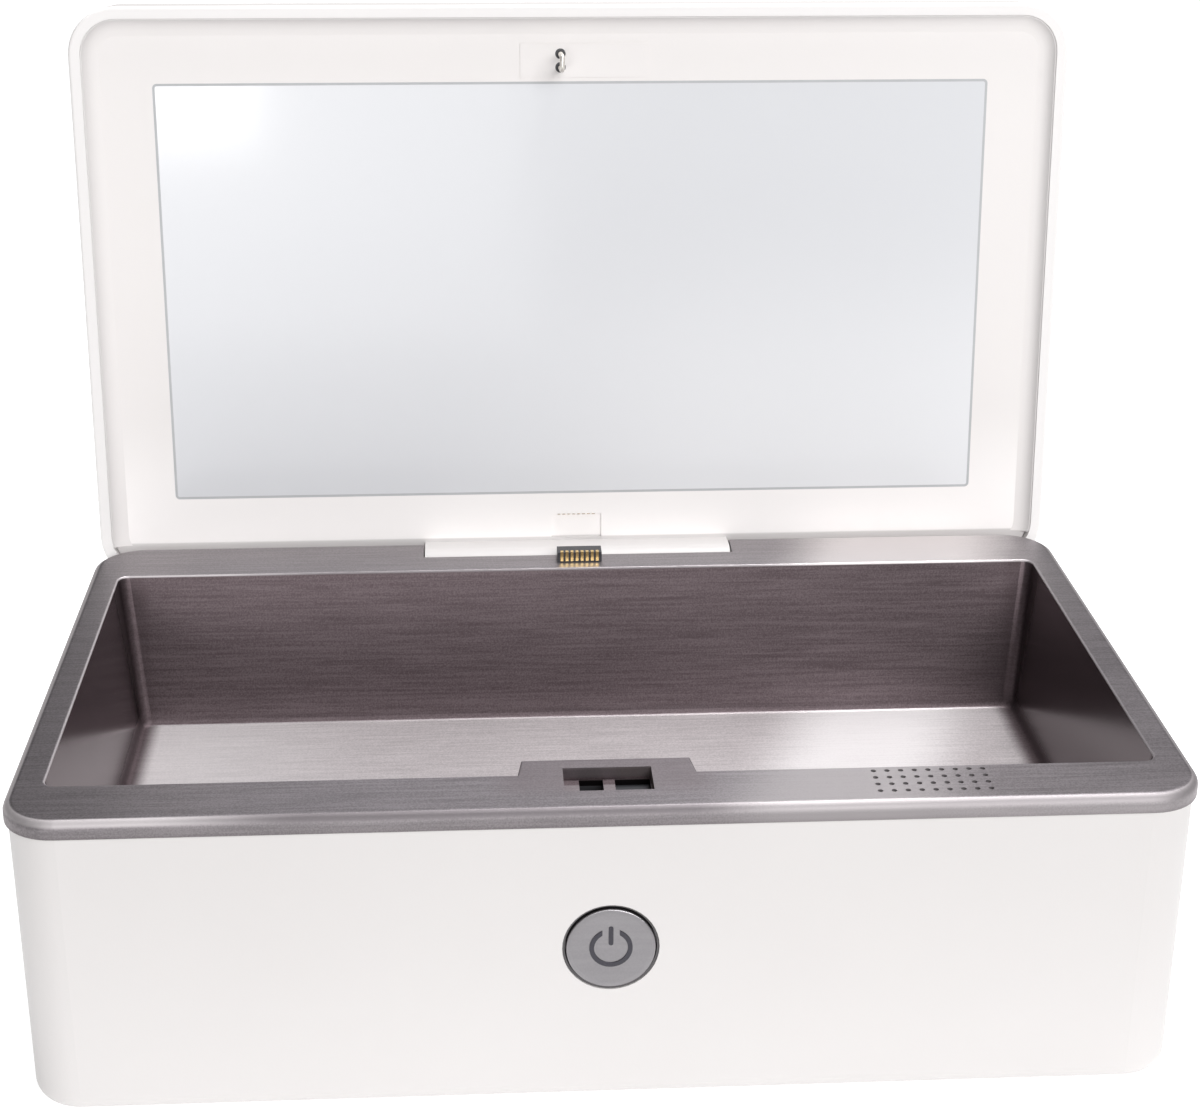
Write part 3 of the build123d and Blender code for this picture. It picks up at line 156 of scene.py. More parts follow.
class Graph:
    """The nodes of one material."""

    def __init__(self, name: str) -> None:
        """Start an empty material.

        Args:
            name: The material's name.
        """
        self.material = bpy.data.materials.new(name)
        self.material.use_nodes = True
        self.tree = self.material.node_tree
        self.tree.nodes.clear()

    def node(
        self,
        kind: str,
        settings: dict[str, object] | None = None,
        values: dict[int | str, object] | None = None,
        out: int | str = 0,
    ) -> Wire:
        """Add a node.

        Args:
            kind: The node's type.
            settings: Its properties, set before its sockets.
            values: Its sockets by name or place, each a number, a colour, a vector or a wire.
            out: The output that is wanted.

        Returns:
            The wire from that output.
        """
        made = self.tree.nodes.new(kind)
        for key, value in (settings or {}).items():
            setattr(made, key, value)
        for key, value in (values or {}).items():
            socket = made.inputs[key]
            if isinstance(value, Wire):
                self.tree.links.new(value.socket, socket)
            elif socket.type == "RGBA":
                socket.default_value = (*value, 1.0)
            else:
                socket.default_value = value
        return Wire(self, made.outputs[out])

    def place(self, grain: Grain = Grain.EVEN) -> Wire:
        """Object coordinates.

        Args:
            grain: Direction in which they are drawn out.

        Returns:
            The coordinates.
        """
        spot = self.node("ShaderNodeTexCoord", out="Object")
        if grain is Grain.EVEN:
            return spot
        values = {"Vector": spot, "Scale": grain.value}
        return self.node("ShaderNodeMapping", {"vector_type": "POINT"}, values)

    def noise(self, scale: float, detail: float = 2.0, grain: Grain = Grain.EVEN) -> Wire:
        """Cloudy noise from 0 to 1.

        Args:
            scale: Repeats to the metre.
            detail: Finer layers on top.
            grain: Direction in which it is drawn out.

        Returns:
            The noise.
        """
        values = {"Scale": scale, "Detail": detail, "Roughness": NOISE_ROUGHNESS}
        values["Vector"] = self.place(grain)
        return self.node("ShaderNodeTexNoise", {"noise_dimensions": "3D"}, values, "Fac")

    def axis(self, name: str) -> Wire:
        """One of the object's coordinates, in metres."""
        return self.node("ShaderNodeSeparateXYZ", values={"Vector": self.place()}, out=name)

    def within(self, name: str, low: float, high: float, soft: float) -> Wire:
        """1 between two places on an axis, falling to 0 outside them.

        Args:
            name: The axis.
            low: The lower place, in metres.
            high: The upper place.
            soft: Width of the soft edges.

        Returns:
            The mask.
        """
        spot = self.axis(name)
        return spot.ramp(low - soft, low) * (1.0 - spot.ramp(high, high + soft))

    def patch(self, across: Span, back: Span, soft: float) -> Wire:
        """1 in a rectangle seen from above, falling to 0 outside it.

        Args:
            across: Its ends on X.
            back: Its ends on Y.
            soft: Width of the soft edges.

        Returns:
            The mask.
        """
        return self.within("X", *across, soft) * self.within("Y", *back, soft)

    def value(self, colour: Wire) -> Wire:
        """The red part of a colour, as a plain value."""
        return self.node("ShaderNodeSeparateColor", values={"Color": colour}, out="Red")

    def painted(self, name: str) -> Wire:
        """A value stored on the mesh's points."""
        settings = {"attribute_type": "GEOMETRY", "attribute_name": name}
        return self.node("ShaderNodeAttribute", settings, out="Fac")

    def blend(self, factor: Wire | float, first: object, second: object) -> Wire:
        """Mix two colours.

        Args:
            factor: 0 for the first colour, 1 for the second.
            first: A colour or a wire.
            second: A colour or a wire.

        Returns:
            The mixed colour.
        """
        values = {0: factor, 6: first, 7: second}
        return self.node("ShaderNodeMix", {"data_type": "RGBA"}, values, 2)

    def bump(self, height: Wire, depth: float) -> Wire:
        """Small relief from a height.

        Args:
            height: The height, from 0 to 1.
            depth: What 1 stands for, in metres.

        Returns:
            The bent normal.
        """
        values = {"Height": height, "Distance": depth, "Strength": 1.0}
        return self.node("ShaderNodeBump", values=values)

    def finished(self, sockets: dict[str, object]) -> bpy.types.Material:
        """Close the graph with a surface shader.

        Args:
            sockets: The shader's sockets by name.

        Returns:
            The material.
        """
        shader = self.node("ShaderNodeBsdfPrincipled", values=sockets)
        output = self.tree.nodes.new("ShaderNodeOutputMaterial")
        self.tree.links.new(shader.socket, output.inputs["Surface"])
        return self.material


@dataclass(frozen=True)
class Finish:
    """A finish with a name. Each kind says what goes into its surface shader."""

    name: str

    def sockets(self, graph: Graph) -> dict[str, object]:
        """The surface shader's sockets by name."""
        raise NotImplementedError

    def build(self) -> bpy.types.Material:
        """Make the material."""
        graph = Graph(self.name)
        return graph.finished(self.sockets(graph))


@dataclass(frozen=True)
class MouldedPlastic(Finish):
    """Plastic with the faint orange peel of its mould and a slow drift of tone."""

    colour: Colour
    shade: Colour
    roughness: float = 0.38
    spread: float = 0.07
    peel_scale: float = 1500.0
    peel_depth: float = 0.000012
    cloud_scale: float = 22.0
    cloud_detail: float = 3.0
    cloud_share: float = 0.5

    def face(self, graph: Graph, tone: Wire) -> Wire:
        """The colour of the whole piece, which in plain plastic is its own drift of tone."""
        return tone

    def sockets(self, graph: Graph) -> dict[str, object]:
        """The surface shader's sockets.

        Args:
            graph: The material's graph.

        Returns:
            Their values by name.
        """
        cloud = graph.noise(self.cloud_scale, self.cloud_detail)
        peel = graph.noise(self.peel_scale)
        return {
            "Base Color": self.face(graph, graph.blend(cloud, self.colour, self.shade)),
            "Roughness": cloud.mixed(self.cloud_share, peel).swing(self.roughness, self.spread),
            "Normal": graph.bump(peel, self.peel_depth),
        }


@dataclass(frozen=True)
class FramePlastic(MouldedPlastic):
    """The lid frame's plastic, with painted light that makes it lighter towards the hinge and
    painted shade that makes the ledge over it duller.
    """

    # Painted light near the hinge and painted shade on the ledge, set into the colour.
    painted_light_colour: Colour = (0.95, 0.92, 0.91)
    painted_ledge_shade: Colour = (0.66, 0.635, 0.63)
    low_z: Span = (0.0740, 0.1050)
    ledge_z: Span = (0.0703, 0.0709)

    def face(self, graph: Graph, tone: Wire) -> Wire:
        """The colour of the whole piece, with painted light near the hinge and painted shade on the
        ledge.

        Args:
            graph: The material's graph.
            tone: The plastic's drift of tone.

        Returns:
            The colour.
        """
        height = graph.axis("Z")
        low = 1.0 - height.ramp(*self.low_z)
        ledge = 1.0 - height.ramp(*self.ledge_z)
        return graph.blend(ledge, graph.blend(low, tone, self.painted_light_colour), self.painted_ledge_shade)


@dataclass(frozen=True)
class LidPlastic(MouldedPlastic):
    """The lid tray's plastic, with painted light that makes it lightest on its lip, whose plane
    leans back with the open lid.
    """

    # Painted light on the lip; the sides keep the plain tone.
    painted_lip_light: Colour = (0.81, 0.79, 0.785)
    hinge: Span = (0.049796, 0.0663)
    lip_level: Span = (0.0050, 0.0085)

    def face(self, graph: Graph, tone: Wire) -> Wire:
        """The colour of the whole piece, with painted light on the lip.

        Args:
            graph: The material's graph.
            tone: The plastic's drift of tone.

        Returns:
            The colour.
        """
        behind = (graph.axis("Y") - self.hinge[0]) * math.cos(LID_LEAN)
        level = behind - (graph.axis("Z") - self.hinge[1]) * math.sin(LID_LEAN)
        return graph.blend(level.ramp(*self.lip_level), self.painted_lip_light, tone)


@dataclass(frozen=True)
class BorderPlastic(MouldedPlastic):
    """The plastic of the frame's border, with painted shade that makes it darkest where it meets
    the tray's lip.
    """

    # Painted shade in the crease where the border meets the lip.
    painted_crease_shade: Colour = (0.62, 0.60, 0.595)

    def face(self, graph: Graph, tone: Wire) -> Wire:
        """The colour of the whole piece, with painted shade in the crease at the lip."""
        return graph.blend(graph.painted("inset"), self.painted_crease_shade, tone)


@dataclass(frozen=True)
class GrainedMetal(Finish):
    """Satin metal with a fine sparkle and a drawn grain."""

    colour: Colour
    shade: Colour
    roughness: float = 0.3
    spread: float = 0.08
    grain: Grain = Grain.EVEN
    grain_scale: float = 2600.0
    grain_depth: float = 0.00001
    fleck_share: float = 0.5
    drawn_ratio: float = 0.6
    drawn_share: float = 0.6
    cloud_scale: float = 30.0
    cloud_detail: float = 3.0
    cloud_share: float = 0.3

    def sockets(self, graph: Graph) -> dict[str, object]:
        """The surface shader's sockets.

        Args:
            graph: The material's graph.

        Returns:
            Their values by name.
        """
        cloud = graph.noise(self.cloud_scale, self.cloud_detail)
        fleck = graph.noise(self.grain_scale)
        drawn = graph.noise(self.grain_scale * self.drawn_ratio, grain=self.grain)
        both = fleck.mixed(self.fleck_share, drawn)
        return {
            "Base Color": graph.blend(cloud.mixed(self.cloud_share, both), self.shade, self.colour),
            "Metallic": 1.0,
            "Roughness": drawn.mixed(self.drawn_share, cloud).swing(self.roughness, self.spread),
            "Normal": graph.bump(both, self.grain_depth),
        }


@dataclass(frozen=True)
class StrikerMetal(GrainedMetal):
    """Bright wire with painted shade where its legs enter the lid."""

    # Painted shade at the roots of the legs.
    painted_root_shade: Colour = (0.06, 0.052, 0.045)
    root_y: Span = (0.0664, 0.0672)

    def sockets(self, graph: Graph) -> dict[str, object]:
        """The surface shader's sockets.

        Args:
            graph: The material's graph.

        Returns:
            Their values by name.
        """
        fleck = graph.noise(self.grain_scale)
        wire = graph.blend(fleck, self.shade, self.colour)
        return {
            # Painted shade on the legs near the lid.
            "Base Color": graph.blend(graph.axis("Y").ramp(*self.root_y), wire, self.painted_root_shade),
            "Metallic": 1.0,
            "Roughness": fleck.swing(self.roughness, self.spread),
        }


@dataclass(frozen=True)
class TubMetal(Finish):
    """Metal of the rim and chamber, all one metal: a satin rim, smoother walls and a floor, with
    the walls and slots painted dark as painted shade, the floor painted bright as painted light, a
    painted highlight on the rim's bevel and painted sheen on the rim and floor.

    The colours come first, then the places of the tub's parts in metres, the gloss and the grain.
    """

    colour: Colour = (0.31, 0.285, 0.30)
    shade: Colour = (0.17, 0.154, 0.163)
    # The band under the bevel is a lighter copy of the rim's metal: painted light.
    lit_band_colour: Colour = (0.36, 0.333, 0.345)
    lit_band_shade: Colour = (0.22, 0.202, 0.21)
    # Painted highlight along the rim's bevel.
    painted_bevel_highlight: Colour = (0.60, 0.565, 0.575)
    # The walls are painted darker than the rim: painted shade.
    shaded_wall_colour: Colour = (0.188, 0.152, 0.162)
    wall_shade: Colour = (0.097, 0.074, 0.080)
    # The floor is painted bright: painted light.
    floor_colour: Colour = (0.60, 0.557, 0.567)
    floor_shade: Colour = (0.37, 0.342, 0.350)
    # Painted shade in the latch slots.
    painted_slot_shade: Colour = (0.012, 0.010, 0.011)
    # Painted sheen: painted highlights on the front rim, the back rim and the floor.
    painted_rim_sheen: Colour = (0.40, 0.375, 0.383)
    painted_back_sheen: Colour = (0.63, 0.595, 0.595)
    painted_floor_sheen: Colour = (0.80, 0.775, 0.78)
    # Slant and place of the painted sheen's streaks on the rim and the floor, their reach and their
    # grain.
    rim_streak: Span = (0.27, 0.0691)
    floor_streak: Span = (0.37, 0.0646)
    streak_reach: Span = (0.006, 0.036)
    streak_tone: Span = (0.75, 1.0)
    # The back of the rim is painted lighter, and so is the floor's left end: painted light.
    back_y: Span = (-0.05, 0.035)
    back_lift: float = 0.22
    left_x: Span = (-0.1000, -0.0300)
    left_share: float = 0.45
    top_z: Span = (0.07036, 0.07048)
    # Where the painted bevel highlight lies: bright at the left end, dulled from there on, partly
    # bright again on the right, where the band takes some too.
    bevel_z: Span = (0.0689, 0.0696)
    bevel_share: float = 0.8
    dull_x: Span = (-0.0950, -0.0600)
    right_x: Span = (0.0150, 0.0750)
    right_clear: float = 0.45
    right_lift: float = 0.35
    band_z: Span = (0.0640, 0.0680)
    mouth_z: Span = (0.0699, 0.0702)
    edge_soft: float = 0.0003
    chamber_x: Span = (-0.1130, 0.1130)
    chamber_y: Span = (-0.0722, 0.0360)
    pocket_x: Span = (-0.0090, 0.0090)
    pocket_y: Span = (-0.0794, -0.0696)
    pocket_z: Span = (0.0681, 0.0684)
    # The pocket's walls take part of the rim's darker tone over the walls' painted shade.
    pocket_share: float = 0.6
    slot_z: Span = (0.0676, 0.0679)
    # The tab is painted darker, towards the walls' colour: painted shade.
    tab_x: Span = (-0.0180, 0.0170)
    tab_y: Span = (-0.0760, -0.0640)
    tab_soft: float = 0.0070
    tab_shade_share: float = 0.40
    floor_z: Span = (0.0333, 0.0336)
    floor_x: Span = (0.1035, 0.1080)
    # The walls' front ends are painted down to the darker wall tone: painted shade.
    end_x: Span = (0.1050, 0.1080)
    end_y: Span = (-0.045, 0.015)
    end_share: Span = (1.0, 0.4)
    gloss_x: Span = (0.1050, 0.1065)
    gloss_y: Span = (-0.0680, 0.0265)
    gloss_soft: float = 0.0015
    foot_z: Span = (0.0345, 0.0375)
    roughness: float = 0.44
    spread: float = 0.06
    skirt_roughness: float = 0.62
    foot_roughness: float = 0.62
    wall_roughness: float = 0.42
    end_roughness: float = 0.2
    pocket_roughness: float = 0.6
    floor_roughness: float = 0.46
    floor_metal: float = 0.45
    cloud_scale: float = 28.0
    cloud_detail: float = 3.0
    cloud_share: float = 0.25
    fleck_scale: float = 2600.0
    fleck_share: float = 0.55
    drawn_scale: float = 1500.0
    drawn_share: float = 0.6
    grain_range: Span = (0.32, 0.68)
    relief: float = 0.000008
    relief_share: float = 0.6

    def sockets(self, graph: Graph) -> dict[str, object]:
        """The surface shader's sockets.

        Args:
            graph: The material's graph.

        Returns:
            Their values by name.
        """
        surface = TubSurface(graph, self)
        grain = surface.fleck.mixed(self.relief_share, surface.drawn)
        return {
            "Base Color": surface.colour(),
            "Metallic": 1.0 - surface.bare_floor * (1.0 - self.floor_metal),
            "Roughness": surface.gloss(),
            "Normal": graph.bump(grain, self.relief),
        }


class TubSurface:
    """Grain of the tub's metal and masks of its parts. A mask is 1 inside its part."""

    def __init__(self, graph: Graph, metal: TubMetal) -> None:
        """Work out the grain and the masks.

        Args:
            graph: The material's graph.
            metal: The finish, which holds the colours and the places of the parts.
        """
        self.graph = graph
        self.metal = metal
        self.cloud = graph.noise(metal.cloud_scale, metal.cloud_detail)
        self.fleck = graph.noise(metal.fleck_scale)
        self.drawn = graph.noise(metal.drawn_scale, grain=Grain.ALONG_X)
        grain = self.fleck.mixed(metal.fleck_share, self.drawn).ramp(*metal.grain_range)
        self.tone = self.cloud.mixed(metal.cloud_share, grain)
        self.across = graph.axis("X")
        self.behind = graph.axis("Y")
        self.height = graph.axis("Z")
        below_mouth = 1.0 - self.height.ramp(*metal.mouth_z)
        chamber = graph.patch(metal.chamber_x, metal.chamber_y, metal.edge_soft)
        pocket = graph.patch(metal.pocket_x, metal.pocket_y, metal.edge_soft)
        self.pocket = pocket * below_mouth
        self.pocket_wall = pocket * self.height.ramp(*metal.pocket_z)
        self.slot = pocket * (1.0 - self.height.ramp(*metal.slot_z))
        self.wall = (chamber + self.pocket_wall) * below_mouth
        self.floor = chamber * (1.0 - self.height.ramp(*metal.floor_z))
        self.side = abs(self.across).ramp(*metal.floor_x)
        self.bare_floor = self.floor * (1.0 - self.side)
        self.top = self.height.ramp(*metal.top_z)

    def streak(self, line: Span) -> Wire:
        """A slanting streak of painted sheen, a painted highlight, which keeps the grain.

        Args:
            line: Slant of the streak's middle, and its place on X where Y is 0.

        Returns:
            The streak, from 0 to 1.
        """
        slant, centre = line
        away = abs(self.across - self.behind * slant - centre)
        near = 1.0 - away.ramp(*self.metal.streak_reach)
        return near * self.tone.spread(*self.metal.streak_tone)

    def rim(self) -> Wire:
        """Colour of the rim: its top, the bevel round it and the band under the bevel, with a
        painted highlight on the bevel and band, painted shade on the tab and painted sheen along a
        streak and over the back.

        Returns:
            The colour.
        """
        graph, metal = self.graph, self.metal
        # Painted highlight on the bevel: bright at the left end, dull in the middle, partly back on
        # the right, where the band takes some too.
        right = self.across.ramp(*metal.right_x)
        dull = self.across.ramp(*metal.dull_x) * (1.0 - right * metal.right_clear)
        glint = graph.blend(dull, metal.painted_bevel_highlight, metal.shade)
        band = graph.blend(self.tone, metal.lit_band_shade, metal.lit_band_colour)
        band = graph.blend(right * metal.right_lift, band, metal.painted_bevel_highlight)
        bevel = self.height.ramp(*metal.bevel_z) * metal.bevel_share
        side = graph.blend(bevel, band, glint)
        skin = graph.blend(self.top, side, graph.blend(self.tone, metal.shade, metal.colour))
        # Painted shade on the tab.
        tab = graph.patch(metal.tab_x, metal.tab_y, metal.tab_soft) * metal.tab_shade_share
        skin = graph.blend(tab, skin, metal.shaded_wall_colour)
        # Painted sheen along a streak and over the back of the rim.
        back = self.behind.ramp(*metal.back_y)
        lit = (self.streak(metal.rim_streak) + back * metal.back_lift).ramp(0.0, 1.0)
        return graph.blend(lit, skin, graph.blend(back, metal.painted_rim_sheen, metal.painted_back_sheen))

    def colour(self) -> Wire:
        """Colour of the whole tub, with painted shade on the walls, their ends and the slots, and
        painted light and sheen on the floor.

        Returns:
            The colour.
        """
        graph, metal = self.graph, self.metal
        # Walls painted dark, darker still at their front ends: painted shade.
        wall = graph.blend(self.tone, metal.wall_shade, metal.shaded_wall_colour)
        deep = self.behind.ramp(*metal.end_y).spread(*metal.end_share)
        end = abs(self.across).ramp(*metal.end_x) * deep
        wall = graph.blend(end, wall, metal.wall_shade)
        # Floor painted bright, with painted sheen along a streak and on its left end: painted
        # light.
        left = (1.0 - self.across.ramp(*metal.left_x)) * metal.left_share
        lit = (self.streak(metal.floor_streak) + left).ramp(0.0, 1.0)
        floor = graph.blend(self.tone, metal.floor_shade, metal.floor_colour)
        floor = graph.blend(lit, floor, metal.painted_floor_sheen)
        inner = graph.blend(self.floor, wall, graph.blend(self.side, floor, wall))
        # The pocket's walls get part of the rim's darker tone, lighter than the walls' painted
        # shade.
        inner = graph.blend(self.pocket_wall * metal.pocket_share, inner, metal.shade)
        outer = graph.blend(self.height.ramp(*metal.band_z), wall, self.rim())
        # Painted shade in the latch slots.
        return graph.blend(self.slot, graph.blend(self.wall, outer, inner), metal.painted_slot_shade)

    def gloss(self) -> Wire:
        """Roughness of the whole tub.

        Returns:
            The roughness.
        """
        graph, metal = self.graph, self.metal
        end = abs(self.across).ramp(*metal.gloss_x)
        end = end * graph.within("Y", *metal.gloss_y, metal.gloss_soft)
        foot = 1.0 - self.height.ramp(*metal.foot_z)
        inner = self._over(end, (metal.wall_roughness,) * 3, metal.end_roughness)
        inner = self._over(foot, inner, metal.foot_roughness)
        outer = self._over(self.top, (metal.skirt_roughness,) * 3, metal.roughness)
        whole = graph.blend(self.wall, outer, inner)
        whole = self._over(self.pocket, whole, metal.pocket_roughness)
        whole = self._over(self.bare_floor, whole, metal.floor_roughness)
        drift = self.drawn.mixed(metal.drawn_share, self.cloud).swing(0.0, metal.spread)
        return graph.value(whole) + drift

    def _over(self, mask: Wire, before: object, roughness: float) -> Wire:
        """A roughness, held as a grey, with another laid over it where a mask is 1."""
        return self.graph.blend(mask, before, (roughness,) * 3)


@dataclass(frozen=True)
class PaneGlass(Finish):
    """The lamp's pane: pale, frosted behind and glossy in front, with a faint haze and painted
    light that makes its lower part lighter, fading out to the left.
    """

    colour: Colour
    haze: Colour
    roughness: float = 0.13
    spread: float = 0.05
    # Painted light on the pane's lower part, fading out to the left.
    painted_light_colour: Colour = (0.79, 0.795, 0.815)
    low_z: Span = (0.085, 0.165)
    low_x: Span = (-0.040, 0.045)
    cloud_scale: float = 9.0
    cloud_detail: float = 3.0
    cloud_share: float = 0.85
    frost_scale: float = 2200.0
    frost_depth: float = 0.000004
    ior: float = 1.52
    coat: float = 0.6
    coat_roughness: float = 0.1

    def sockets(self, graph: Graph) -> dict[str, object]:
        """The surface shader's sockets.

        Args:
            graph: The material's graph.

        Returns:
            Their values by name.
        """
        cloud = graph.noise(self.cloud_scale, self.cloud_detail)
        frost = graph.noise(self.frost_scale)
        low = (1.0 - graph.axis("Z").ramp(*self.low_z)) * graph.axis("X").ramp(*self.low_x)
        pane = graph.blend(cloud.mixed(self.cloud_share, frost), self.colour, self.haze)
        return {
            # Painted light on the lower part.
            "Base Color": graph.blend(low, pane, self.painted_light_colour),
            "Roughness": cloud.swing(self.roughness, self.spread),
            "IOR": self.ior,
            "Coat Weight": self.coat,
            "Coat Roughness": self.coat_roughness,
            "Normal": graph.bump(frost, self.frost_depth),
        }


@dataclass(frozen=True)
class SoftRubber(Finish):
    """Matt rubber with a dusty bloom."""

    colour: Colour
    bloom: Colour
    dust_scale: float = 260.0
    dust_detail: float = 4.0
    dust_roughness: Span = (0.62, 0.86)
    pore_scale: float = 3800.0
    pore_detail: float = 1.0
    pore_depth: float = 0.00002

    def sockets(self, graph: Graph) -> dict[str, object]:
        """The surface shader's sockets.

        Args:
            graph: The material's graph.

        Returns:
            Their values by name.
        """
        dust = graph.noise(self.dust_scale, self.dust_detail)
        pore = graph.noise(self.pore_scale, self.pore_detail)
        return {
            "Base Color": graph.blend(dust * dust, self.colour, self.bloom),
            "Roughness": dust.spread(*self.dust_roughness),
            "Normal": graph.bump(pore, self.pore_depth),
        }


@dataclass(frozen=True)
class TrackedBoard(Finish):
    """Circuit board: lacquer with fine copper tracks under it."""

    lacquer: Colour
    track: Colour
    cells_per_metre: float = 240.0
    track_width: float = 0.12
    track_share: float = 0.7
    track_depth: float = 0.00003
    mottle_scale: float = 900.0
    mottle_roughness: Span = (0.22, 0.38)

    def sockets(self, graph: Graph) -> dict[str, object]:
        """The surface shader's sockets.

        Args:
            graph: The material's graph.

        Returns:
            Their values by name.
        """
        cells = graph.node(
            "ShaderNodeTexVoronoi",
            {"distance": "MANHATTAN", "feature": "DISTANCE_TO_EDGE"},
            {"Vector": graph.place(), "Scale": self.cells_per_metre},
            "Distance",
        )
        line = 1.0 - (cells > self.track_width)
        return {
            "Base Color": graph.blend(line * self.track_share, self.lacquer, self.track),
            "Roughness": graph.noise(self.mottle_scale).spread(*self.mottle_roughness),
            "Normal": graph.bump(line, self.track_depth),
        }


@dataclass(frozen=True)
class PressedFelt(Finish):
    """Felt of short pressed fibres."""

    colour: Colour
    fibre: Colour
    roughness: float = 0.95
    fibre_scale: float = 3000.0
    fibre_detail: float = 4.0
    fibre_depth: float = 0.00012
    along_share: float = 0.5

    def sockets(self, graph: Graph) -> dict[str, object]:
        """The surface shader's sockets.

        Args:
            graph: The material's graph.

        Returns:
            Their values by name.
        """
        along = graph.noise(self.fibre_scale, self.fibre_detail, Grain.ALONG_X)
        cross = graph.noise(self.fibre_scale, self.fibre_detail, Grain.ALONG_Y)
        mat = along.mixed(self.along_share, cross)
        return {
            "Base Color": graph.blend(mat, self.colour, self.fibre),
            "Roughness": self.roughness,
            "Normal": graph.bump(mat, self.fibre_depth),
        }


@dataclass(frozen=True)
class StripedFilm(Finish):
    """Ribbon lead: amber film with copper lines along it."""

    film: Colour
    copper: Colour
    pitch: float = 0.001
    gap_share: float = 0.5
    line_metal: float = 0.6
    line_depth: float = 0.00002
    blot_scale: float = 400.0
    blot_roughness: Span = (0.22, 0.34)

    def sockets(self, graph: Graph) -> dict[str, object]:
        """The surface shader's sockets.

        Args:
            graph: The material's graph.

        Returns:
            Their values by name.
        """
        line = graph.axis("X").repeated(self.pitch) > self.gap_share
        return {
            "Base Color": graph.blend(line, self.film, self.copper),
            "Metallic": line * self.line_metal,
            "Roughness": graph.noise(self.blot_scale).spread(*self.blot_roughness),
            "Normal": graph.bump(line, self.line_depth),
        }


@dataclass(frozen=True)
class GlowLens(Finish):
    """Lamp lens: clear resin over a yellow die."""

    resin: Colour
    die: Colour
    bloom_scale: float = 700.0
    bloom_roughness: Span = (0.08, 0.2)
    coat: float = 1.0
    coat_roughness: float = 0.03

    def sockets(self, graph: Graph) -> dict[str, object]:
        """The surface shader's sockets.

        Args:
            graph: The material's graph.

        Returns:
            Their values by name.
        """
        bloom = graph.noise(self.bloom_scale)
        return {
            "Base Color": graph.blend(bloom, self.resin, self.die),
            "Roughness": bloom.spread(*self.bloom_roughness),
            "Coat Weight": self.coat,
            "Coat Roughness": self.coat_roughness,
        }


class Palette:
    """Builds each finish once and hands it out."""

    def __init__(self) -> None:
        """Start with nothing built."""
        self._built: dict[str, bpy.types.Material] = {}

    def material(self, finish: Finish) -> bpy.types.Material:
        """Material of a finish.

        Args:
            finish: The finish.

        Returns:
            Its material, built at the first call.
        """
        if finish.name not in self._built:
            self._built[finish.name] = finish.build()
        return self._built[finish.name]

    def dress(self, finish: Finish, *nodes: str) -> None:
        """Give CAD nodes a finish.

        Args:
            finish: The finish.
            nodes: Names of the nodes.
        """
        for name in nodes:
            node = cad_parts[name]
            node.data.materials.clear()
            node.data.materials.append(self.material(finish))
            LOG.info("dressed %s in %s", name, finish.name)


SHELL_TONES = ((0.675, 0.652, 0.646), (0.65, 0.627, 0.621))
FRAME_TONES = ((0.81, 0.78, 0.77), (0.785, 0.755, 0.745))
WHITE_SHELL = MouldedPlastic("white_shell", *SHELL_TONES, 0.42, 0.05)
LID_PLASTIC = LidPlastic("lid_plastic", *SHELL_TONES, 0.42, 0.05)
WHITE_FRAME = FramePlastic("white_frame", *FRAME_TONES, 0.40, 0.05)
BORDER_PLASTIC = BorderPlastic("border_plastic", *FRAME_TONES, 0.42, 0.05)
DARK_PLASTIC = MouldedPlastic(
    "dark_plastic", (0.030, 0.030, 0.034), (0.045, 0.045, 0.05), 0.45, 0.08
)
CHIP_PLASTIC = MouldedPlastic(
    "chip_plastic", (0.022, 0.022, 0.024), (0.04, 0.04, 0.042), 0.55, 0.08, peel_scale=2600.0
)
# Dark collar plastic: on the button's collar it stands in for the shadow gap round the cap, painted
# shade. The socket's bezel shares it.
COLLAR_PLASTIC = MouldedPlastic(
    "collar_plastic", (0.085, 0.08, 0.083), (0.11, 0.105, 0.108), 0.42, 0.06
)
CELL_SLEEVE = MouldedPlastic("cell_sleeve", (0.10, 0.26, 0.52), (0.07, 0.20, 0.44), 0.28, 0.05)
SILVER_TUB = TubMetal("silver_tub")
BUTTON_METAL = GrainedMetal(
    "button_metal", (0.39, 0.375, 0.39), (0.25, 0.24, 0.25), 0.32, 0.06, Grain.ALONG_X, 2200.0
)
SYMBOL_METAL = GrainedMetal("symbol_metal", (0.10, 0.097, 0.11), (0.065, 0.063, 0.075), 0.40, 0.05)
STRIKER_STEEL = StrikerMetal("striker_steel", (0.90, 0.87, 0.82), (0.74, 0.71, 0.66), 0.46, 0.06)
SPRING_STEEL = GrainedMetal("spring_steel", (0.62, 0.62, 0.63), (0.45, 0.45, 0.46), 0.25, 0.08)
LATCH_BRASS = GrainedMetal("latch_brass", (0.72, 0.52, 0.25), (0.50, 0.34, 0.14), 0.26, 0.08)
CONTACT_GOLD = GrainedMetal("contact_gold", (0.95, 0.72, 0.34), (0.78, 0.55, 0.22), 0.2, 0.05)
BRIGHT_SHEET = GrainedMetal(
    "bright_sheet", (0.90, 0.90, 0.91), (0.80, 0.80, 0.82), 0.16, 0.05, Grain.ALONG_X
)
DULL_SHEET = GrainedMetal(
    "dull_sheet", (0.70, 0.70, 0.72), (0.58, 0.58, 0.60), 0.38, 0.08, Grain.ALONG_X
)
LAMP_PANE = PaneGlass("lamp_pane", (0.675, 0.683, 0.71), (0.71, 0.718, 0.742), 0.30)
GASKET_RUBBER = SoftRubber("gasket_rubber", (0.46, 0.465, 0.48), (0.54, 0.545, 0.56))
FOOT_RUBBER = SoftRubber("foot_rubber", (0.030, 0.030, 0.032), (0.075, 0.075, 0.08))
GREEN_BOARD = TrackedBoard("green_board", (0.012, 0.12, 0.05), (0.06, 0.26, 0.11))
